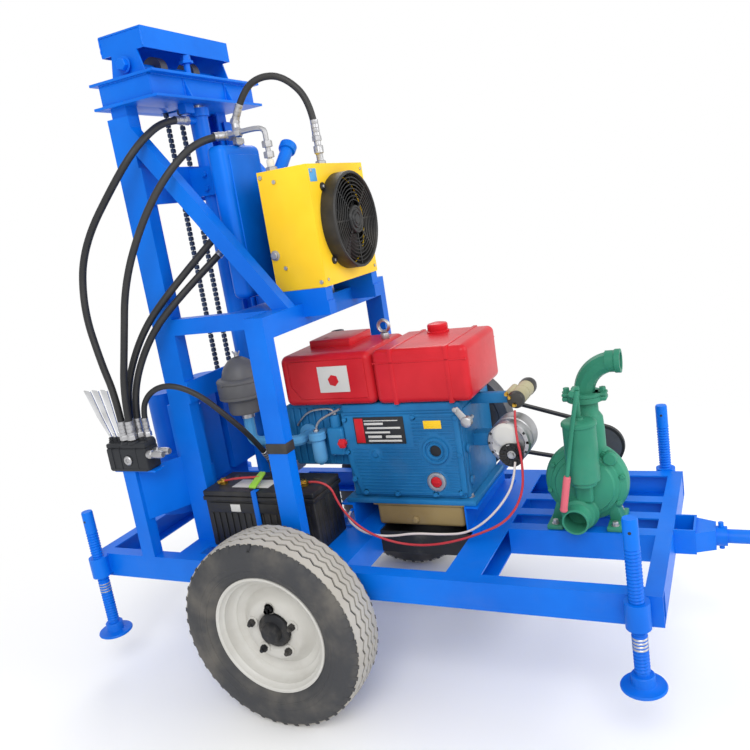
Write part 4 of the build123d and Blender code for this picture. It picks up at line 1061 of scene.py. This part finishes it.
class RIG_OT_engine_ends(bpy.types.Operator):
    """Model the air cleaner, intake pipe, fuel filter, silencer, starter and generator"""
    bl_idname = "rig.engine_ends"
    bl_label = "Engine fittings"

    def execute(self, context):
        self.air_cleaner()
        self.fuel_filter()
        self.silencer()
        self.starter()
        self.generator()
        return {"FINISHED"}

    def air_cleaner(self):
        """Air cleaner with its clips and wing nut, and the pipe from it to the head."""
        x, y = 535, -136
        shell = turned("cleaner", (x, y, 398), UP, [
            (0, 0), (30, 0), (52, 6), (56, 14), (56, 46), (60, 52), (74, 56), (79, 60), (79.5, 66),
            (77, 68), (79.5, 72), (79.5, 106), (77, 109), (80, 112), (80, 118), (76, 122), (66, 124),
            (62, 125), (60, 132), (55, 148), (46, 164), (33, 177), (18, 186), (8, 189), (0, 190)], 56)
        clips = []
        for turn in (250, 10, 130):
            side = Matrix.Rotation(radians(turn), 3, "Z") @ Vector(FORWARD)
            clips.append(drum("clip", Vector((x, y, 510)) + side * 76, side, 8, 5, 2, 14))
        fit(joined("air_cleaner_shell", [shell, *clips]), "charcoal", "air_cleaner")
        wing = [drum("screw", (x, y, 584), UP, 4, 20, 1), drum("nut", (x, y, 588), UP, 8, 6, 1)]
        for lean in (-1, 1):
            ear = upright(y - 2, (x + lean * 6, 590), (x + lean * 16, 604), (x + lean * 12, 606),
                          (x + lean * 3, 595))
            wing.append(slab("wing", ear, (0, 4, 0), 1))
        fit(joined("wing_nut", wing), "bright_steel")
        bend = pipe("intake", 18, [(x, y, 399), (x, y, 352), (x, y, 300), (590, y, 300), (650, y, 300),
                                   (712, y, 300), (712, -100, 300), (712, -59, 300)], 10)
        clamp = turned("intake_clamp", (x, y, 384), UP, [(18, 0), (21, 0), (21, 12), (18, 12), (18, 0)], 32)
        flange = turned("flange", (712, -62, 300), NEAR, [(0, 0), (34, 0), (34, 8), (20, 10), (0, 10)], 32)
        fit(joined("intake_bend", [bend, flange]), "pipe_paint", "intake_pipe")
        fit(clamp, "bright_steel")

    def fuel_filter(self):
        bowl = turned("bowl", (766, -110, 212), UP, [
            (0, 0), (8, 0), (9, 5), (17, 8), (21, 14), (22, 24), (22, 70), (20, 80), (24, 84), (28, 86),
            (28, 104), (24, 109), (10, 110), (0, 110)], 36)
        fit(joined("filter_bowl", [bowl, block("filter_arm", (756, 776), (-92, -58), (298, 318), 3)]),
            "pipe_paint", "fuel_filter")

    def silencer(self):
        bell = [turned("silencer", (700, 252, 280), UP, [
            (0, 0), (18, 0), (22, 6), (40, 14), (45, 24), (46, 30), (46, 262), (44, 276), (34, 288),
            (24, 293), (22, 300), (16, 300), (16, 292), (0, 292)], 44),
            drum("exhaust", (700, 150, 330), FAR, 22, 64, 2)]
        for z in (318, 522):
            bell.append(turned("band", (700, 252, z), UP, [(46, 0), (47.5, 1), (47.5, 9), (46, 10)], 44))
        fit(joined("silencer", bell), "iron", "muffler")

    def starter(self):
        sx, sz = 1398, 382
        motor = turned("motor", (sx, -20, sz), FAR, [
            (0, 0), (24, 0), (25, 3), (25, 60), (23.5, 61), (23.5, 64), (25, 65), (25, 118), (0, 118)], 36)
        solenoid = drum("solenoid", (sx - 22, -12, sz + 14), FAR, 12, 70, 2)
        fit(joined("starter_body", [motor, solenoid]), "khaki", "starter")
        tail = [(0, 0), (25.5, 0), (26.5, 4), (26.5, 30), (23, 44), (14, 51), (0, 51)]
        nose = [(0, -4), (25.5, -4), (25.5, 6), (22, 14), (10, 18), (0, 18)]
        ends = [turned("tail", (sx, 96, sz), FAR, tail, 36), turned("nose", (sx, -22, sz), NEAR, nose, 36)]
        fit(joined("starter_ends", ends), "black_plastic")
        studs = [(sx - 14, -34, sz + 10), (sx - 2, -38, sz - 12), (sx - 30, -12, sz + 14)]
        fit(bolts("starter_studs", studs, NEAR, 9, 8), "yellow_brass")

    def generator(self):
        """Slotted stator, with black bars painted as the shade in its slots, the cooling fan on the shaft
        and the pale end face.
        """
        gx, gz = 1370, 262
        body = turned("stator", (gx, -60, gz), FAR, [
            (0, 4), (44, 4), (50, 0), (60, 2), (64, 8), (64, 34), (61, 36), (61, 44), (64, 46), (64, 100),
            (58, 108), (40, 110), (0, 110)], 48)
        # black bars: painted shade standing for the stator's slot openings
        slot = block("slot", (gx + 47, gx + 60), (-59.4, -54), (gz - 4, gz + 4), 1)
        slot_shade_bars = ringed(slot, 12, (gx, -60, gz), FAR)
        fit(body, "bright_steel", "generator")
        fx, fz = gx + 8, gz - 34
        fan = turned("cooling_fan", (fx, -62, fz), NEAR, [
            (0, 2), (12, 2), (14, 6), (20, 7), (22, 3), (31, 4), (34, 8), (36, 8), (36, 0), (30, -4),
            (0, -4)], 40)
        vane = block("vane", (fx + 15, fx + 32), (-72, -62), (fz - 1.5, fz + 1.5), 0.8)
        vanes = ringed(vane, 12, (fx, -62, fz), FAR)
        fit(joined("generator_fan", [slot_shade_bars, fan, vanes]), "black_paint")
        face = turned("end_bell", (gx - 6, -60, gz + 22), NEAR, [
            (0, 8), (26, 7), (34, 4), (38, 0), (38, -4)], 40)
        fit(face, "rim_paint")
        fit(bolts("generator_nut", [(fx, -66, fz)], NEAR, 17, 8), "bright_steel")


class RIG_OT_battery(bpy.types.Operator):
    """Model the battery with its ribbed case, lid, terminals, label and hold-down"""
    bl_idname = "rig.battery"
    bl_label = "Battery"

    def execute(self, context):
        case = [
            block("case", (424, 828), (-294, -131), (0, 162), 5, 3),
            block("lid_foot", (419, 833), (-299, -126), (158, 172), 3, 3),
            block("lid", (421, 831), (-297, -128), (172, 190), 4, 3),
            block("handle", (440, 812), (-299, -296), (120, 152), 1.4),
        ]
        for x in range(470, 800, 62):
            case.append(drum("cell_cap", (x, -176, 189), UP, 13, 4, 1.5, 20))
        for x in range(442, 826, 24):
            case.append(block("rib", (x, x + 5), (-297, -293), (14, 116), 1.2))
        for y in range(-280, -140, 24):
            case.append(block("rib", (827, 830), (y, y + 5), (14, 150), 1))
        fit(joined("battery_case", case), "black_plastic", "battery")
        posts = []
        for x, y in ((460, -232), (766, -232)):
            taper = [(0, 0), (13, 0), (13, 5), (9.5, 6), (8.5, 17), (0, 17)]
            posts += [turned("post", (x, y, 190), UP, taper, 24),
                      block("clamp", (x - 15, x + 15), (y - 16, y + 8), (195, 204), 3),
                      drum("clamp_bolt", (x, y - 26, 200), FAR, 4, 22, 1, 16)]
        fit(joined("battery_clamps", posts), "yellow_brass")
        fit(joined("battery_label", [block("label", (512, 650), (-262, -198), (189.6, 190.6), 0.2),
                                     block("fields", (524, 560), (-301, -299), (124, 148), 0.2)]),
            "rim_paint")
        fit(joined("hold_down_strap", [
            block("strap", (612, 630), (-302, -298), (-4, 192), 1),
            block("hook", (612, 630), (-302, -280), (190, 194), 1)]), "blue_paint")
        fit(slab("cable_clip", [(588, -204, 214), (612, -206, 214), (622, -286, 196), (594, -284, 196)],
                 (0, 0, 9), 3, 3), "lime_plastic")
        fit(pipe("lead", 3.4, [(470, -240, 202), (500, -244, 210), (560, -236, 214), (604, -232, 214)]),
            "red_cable")
        return {"FINISHED"}


class RIG_OT_valves(bpy.types.Operator):
    """Model the control valve: casting, ports, plug, spools and hand levers"""
    bl_idname = "rig.valves"
    bl_label = "Control valve"

    def execute(self, context):
        body = [
            block("casting", (168, 328), (-409, -346), (298, 372), 6, 3),
            block("top", (226, 328), (-406, -348), (370, 389), 5, 3),
            block("inlet", (166, 228), (-404, -352), (370, 386), 5, 3),
            block("foot", (176, 322), (-410, -345), (298, 308), 2),
        ]
        for x in (192, 224, 290):
            body.append(block("section", (x - 1.5, x + 1.5), (-411, -344), (304, 374), 1))
        for x, y in ((248, -395), (278, -395), (252, -362), (282, -362), (312, -362)):
            body.append(turned("port", (x, y, 386), UP, [(0, 0), (17, 0), (17, 4), (14, 8), (0, 8)], 24))
        for x in (172, 191, 210, 229):
            body.append(turned("boot", (x, -378, 384), UP, [
                (0, 0), (10, 0), (11, 3), (8, 6), (10, 9), (7, 12), (9, 15), (5, 19), (0, 19)], 20))
        fit(joined("valve_casting", body), "black_paint", "valve_bank")
        bright = [turned("plug", (256, -409, 335), NEAR, [
            (0, 5), (6, 5), (7, 8), (12, 8), (15, 5), (15, 0), (16, 0), (16, -3)], 28)]
        for y in (-396, -366):
            bright.append(turned("spool", (328, y, 350), FORWARD, [
                (0, 0), (12, 0), (12, 18), (10, 20), (10, 26), (12, 28), (12, 52), (9, 60), (0, 60)], 24))
            bright.append(hexagon("nut", (334, y, 350), FORWARD, 25, 12))
        fit(joined("valve_fittings", bright), "bright_steel")
        blades = []
        tip = 555
        for x, lean in ((172, -58), (191, -42), (210, -24), (229, -8)):
            outline = upright(-381, (x - 5, 402), (x + 5, 402), (x + lean * 0.5 + 11, 470),
                              (x + lean + 16, tip), (x + lean - 12, tip + 4), (x + lean * 0.5 - 9, 470))
            blades.append(slab("blade", outline, (0, 5, 0), 1.6))
            blades.append(drum("stalk", (x, -378.5, 388), (lean * 0.1, 0, 60), 4, 30, 1, 16))
        fit(joined("lever_blades", blades), "chrome", "valve_levers")
        band = block("post_band", (774, 841), (-402, -358), (353, 383), 1)
        fit(band, "black_plastic")
        return {"FINISHED"}


class RIG_OT_pump(bpy.types.Operator):
    """Model the water pump: volute, branch, primer with its rod and lever, and the outlet bend"""
    bl_idname = "rig.pump"
    bl_label = "Water pump"

    def execute(self, context):
        px, pz = 1573, 128
        centre = (px, 0, pz)
        body = [
            turned("volute", centre, NEAR, [
                (0, -33), (60, -33), (100, -30), (112, -22), (117, -10), (118, 0), (117, 10), (112, 22),
                (102, 28), (96, 30), (94, 38), (84, 42), (80, 50), (66, 54), (50, 60), (0, 62)], 72),
            turned("throat", (px + 16, 0, pz), UP, [
                (0, 60), (46, 60), (46, 150), (44, 190), (38, 200), (34, 206), (34, 236), (40, 240),
                (50, 240), (50, 254), (0, 254)], 48),
            block("flange", (px - 45, px + 77), (-20, 20), (368, 382), 5, 3),
            turned("suction", (1555, -30, 52), NEAR, [
                (0, 0), (54, 0), (54, 28), (49, 34), (48, 42), (46, 54), (38, 58), (36, 62), (36, 94),
                (37, 98), (36, 100), (31.5, 100), (31, 98), (31, 36), (0, 36)], 48),
            turned("primer", (1582, -86, 150), UP, [
                (0, 0), (34, 0), (36, 8), (44, 14), (45, 18), (45, 170), (48, 173), (48, 180), (45, 184),
                (38, 187), (14, 188), (12, 194), (0, 194)], 48),
            block("web", (1552, 1600), (-82, -40), (88, 168), 10, 3),
            turned("petcock", (px + 76, -24, 210), NEAR, [
                (0, 0), (18, 0), (18, 10), (14, 12), (14, 16), (19, 18), (19, 26), (16, 30), (0, 31)], 24),
            turned("bearing", (px, 33, pz), FAR, [
                (0, 0), (56, 0), (52, 20), (40, 30), (40, 110), (44, 114), (44, 152), (40, 157),
                (0, 157)], 40),
            block("bearing_foot", (px - 40, px + 40), (148, 189), (0, 96), 4),
        ]
        for x0, x1 in ((-113, -68), (55, 99)):
            middle = (x0 + x1) / 2
            body.append(block("foot", (px + x0, px + x1), (-72, 70), (0, 14), 3))
            foot, knee = px + middle, px + middle * 0.8
            leg = upright(-26, (foot - 18, 12), (foot + 18, 12), (knee + 10, 92), (knee - 10, 92))
            body.append(slab("leg", leg, (0, 52, 0), 4))
        fit(joined("pump_casting", body), "pump_paint", "mud_pump")
        ring = []
        for turn in range(0, 360, 45):
            a = radians(turn + 12)
            ring.append((px + 104 * math.cos(a), -24, pz + 104 * math.sin(a)))
        fit(bolts("volute_bolts", ring, NEAR, 13, 8), "pump_paint")
        feet = [(px + x, y, 14) for x in (-90, 77) for y in (-56, 54)]
        fit(bolts("foot_bolts", feet, UP, 15, 10), "bright_steel")
        fit(bolts("outlet_bolts", [(px - 34, 0, 392), (px + 66, 0, 392)], UP, 17, 11), "pump_paint")
        arc = [(1675 - 86 * math.cos(a), 0, 390 + 86 * math.sin(a)) for a in map(radians, range(0, 91, 15))]
        bend = pipe("bend", 29, [(1589, 0, 384), *arc, (1682, 0, 476)], 6)
        bend = [bend, drum("flange", (1589, 0, 382), UP, 50, 10, 2, 44),
                block("ears", (1528, 1650), (-21, 21), (382, 392), 4, 3),
                turned("mouth", (1654, 0, 476), FORWARD, [
                    (23, 0), (30, 0), (30, 22), (33, 26), (33, 40), (23.5, 40), (23, 38), (23, 0)], 44)]
        fit(joined("outlet_bend", bend), "pump_paint", "outlet_elbow")
        rod = [drum("rod", (1582, -86, 338), UP, 8, 84, 2, 20),
               block("clevis", (1572, 1592), (-98, -74), (404, 430), 3),
               drum("link", (1582, -86, 424), NEAR, 7, 50, 1, 18),
               pipe("lever", 6, [(1596, -137, 434), (1580, -137, 360), (1562, -137, 270),
                                 (1547, -137, 186)]),
               hexagon("pin", (1582, -132, 424), NEAR, 17, 8)]
        fit(joined("primer_rod", rod), "pump_paint", "priming_lever")
        grip = turned("grip", (1548, -137, 192), Vector((-20, 0, -104)), [
            (0, 0), (8, 0), (10, 4), (10, 96), (11, 100), (9, 105), (0, 106)], 24)
        fit(grip, "pink_grip")
        return {"FINISHED"}


class RIG_OT_mast(bpy.types.Operator):
    """Model the lift chain, and the tie bolts, mast bolt and crown nut of the mast"""
    bl_idname = "rig.mast"
    bl_label = "Mast and chassis details"

    def execute(self, context):
        outline = upright(-7, (-5, -7), (5, -7), (6.4, 0), (5, 7), (-5, 7), (-6.4, 0))
        plate = slab("plate", outline, (0, 3, 0), 0.7, 1)
        link = joined("link", [plate, shifted(plate, "plate", 0, 11, 0),
                               drum("pin", (0, -8, 5), FAR, 2.6, 16, 0.4, 10),
                               drum("roller", (0, -3, -4), FAR, 4.2, 6, 0.6, 10)])
        links = []
        for x, foot in ((342, 470), (398, 500)):
            links += [shifted(link, "link", x, 0, z) for z in range(foot + 8, 1400, 16)]
        over = [moved(link, "link", Matrix.Translation((at(370, 0, 1406) - at(0, 0, 0)))
                      @ Matrix.Translation(at(0, 0, 0)) @ Matrix.Rotation(radians(turn), 4, "Y")
                      @ Matrix.Translation(-at(0, 0, 0)) @ Matrix.Translation(Vector((0.028, 0, 0))))
                for turn in range(0, -181, -30)]
        bpy.data.objects.remove(link)
        fit(joined("chain_links", links + over), "chain_steel", "lift_chain")
        ties = bolts("tie_bolts", [(480, -38, z) for z in (1122, 1166, 492, 520)], NEAR, 15, 9)
        fit(ties, "blue_paint")
        heads = [bolts("mast_bolts", [(405, -224, 1496)], NEAR, 32, 14),
                 turned("crown_nut", (468, -10, 1506), UP, [
                     (10, 0), (22, 0), (22, 8), (16, 9), (16, 24), (10, 26)], 6)]
        fit(joined("mast_bolts", heads), "blue_paint", body=OWNER["crown"])
        return {"FINISHED"}


class RIG_OT_head(bpy.types.Operator):
    """Model the head beam: flanges, webs set back, end plates, gussets and weld beads"""
    bl_idname = "rig.head"
    bl_label = "Head beam"

    def execute(self, context):
        low, high, x0, x1, half = 1380, 1456, 300, 542, 272
        body = [
            block("top", (x0, x1), (-half, half), (high - 8, high), 1.2),
            block("bottom", (x0, 333), (-half, half), (low, low + 8), 0.8),
            block("bottom", (410, x1), (-half, half), (low, low + 8), 0.8),
            block("lift_pad", (437, 497), (-30, 30), (low + 1, high - 1), 2),
            block("hose_pad", (465, 495), (-93, -49), (low - 30, low + 1), 3),
            drum("shaft", (370, -70, 1406), FAR, 11, 140, 2),
        ]
        for y0, y1 in ((-half, -16), (16, half)):
            body.append(block("bottom", (332.5, 410.5), (y0, y1), (low, low + 8), 0.8))
        for x in (325, 509):
            body.append(block("web", (x, x + 8), (-258, 258), (low + 6, high - 6), 0.8))
        for y in (-262, 254, -70, 62):
            body.append(block("plate", (326, 516), (y, y + 8), (low + 6, high - 6), 0.8))
        for y in (-110, 99):
            gusset = upright(y, (516, high - 6), (516, low + 6), (540, low + 6))
            body.append(slab("gusset", gusset, (0, 8, 0), 1))
        for z in (low + 9, high - 9):
            body.append(weld((518, -256, z), (518, 256, z)))
            body.append(weld((328, -263, z), (514, -263, z)))
        for y in (-111, -101, 98, 108):
            body.append(weld((518, y, low + 10), (518, y, high - 10)))
        fit(joined("head_beam_plates", body), "blue_paint", "head_beam")
        seams = [weld((346, -214, 1459), (464, -214, 1459))]
        seams += [weld((321, -213.2, 1536), (321, -213.2, 1586)),
                  weld((479, -213.2, 1536), (479, -213.2, 1586)),
                  weld((322, -213.2, 1587), (478, -213.2, 1587))]
        fit(joined("crown_welds", seams), "blue_paint", body=OWNER["crown"])
        return {"FINISHED"}
# Panel and registration

STEPS = (RIG_OT_stage, RIG_OT_finishes, RIG_OT_wheels, RIG_OT_jacks, RIG_OT_cords, RIG_OT_cooler,
         RIG_OT_tanks, RIG_OT_engine, RIG_OT_engine_ends, RIG_OT_battery, RIG_OT_valves, RIG_OT_pump,
         RIG_OT_mast, RIG_OT_head)


class RIG_PT_build(bpy.types.Panel):
    """The rig's building steps and settings"""
    bl_label = "Drilling rig"
    bl_space_type = "VIEW_3D"
    bl_region_type = "UI"
    bl_category = "Rig"

    def draw(self, context):
        for step in STEPS:
            self.layout.operator(step.bl_idname)
        for name in ("lens", "world", "key", "floor"):
            self.layout.prop(context.scene.rig_stage, name)
        for name in ("lugs", "thread", "fins"):
            self.layout.prop(context.scene.rig_sizes, name)


CLASSES = (RigStage, RigSizes, *STEPS, RIG_PT_build)


def register():
    for cls in CLASSES:
        bpy.utils.register_class(cls)
    bpy.types.Scene.rig_stage = PointerProperty(type=RigStage)
    bpy.types.Scene.rig_sizes = PointerProperty(type=RigSizes)


def unregister():
    del bpy.types.Scene.rig_sizes
    del bpy.types.Scene.rig_stage
    for cls in reversed(CLASSES):
        bpy.utils.unregister_class(cls)


def main():
    bpy.ops.object.select_all(action="DESELECT")
    register()
    for step in STEPS:
        group, name = step.bl_idname.split(".")
        getattr(getattr(bpy.ops, group), name)()
    boxes = {"cad": CAD_BOX, "visual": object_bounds()}
    {k: [list(corner) for corner in v] for k, v in boxes.items()}


if __name__ == "__main__":
    main()
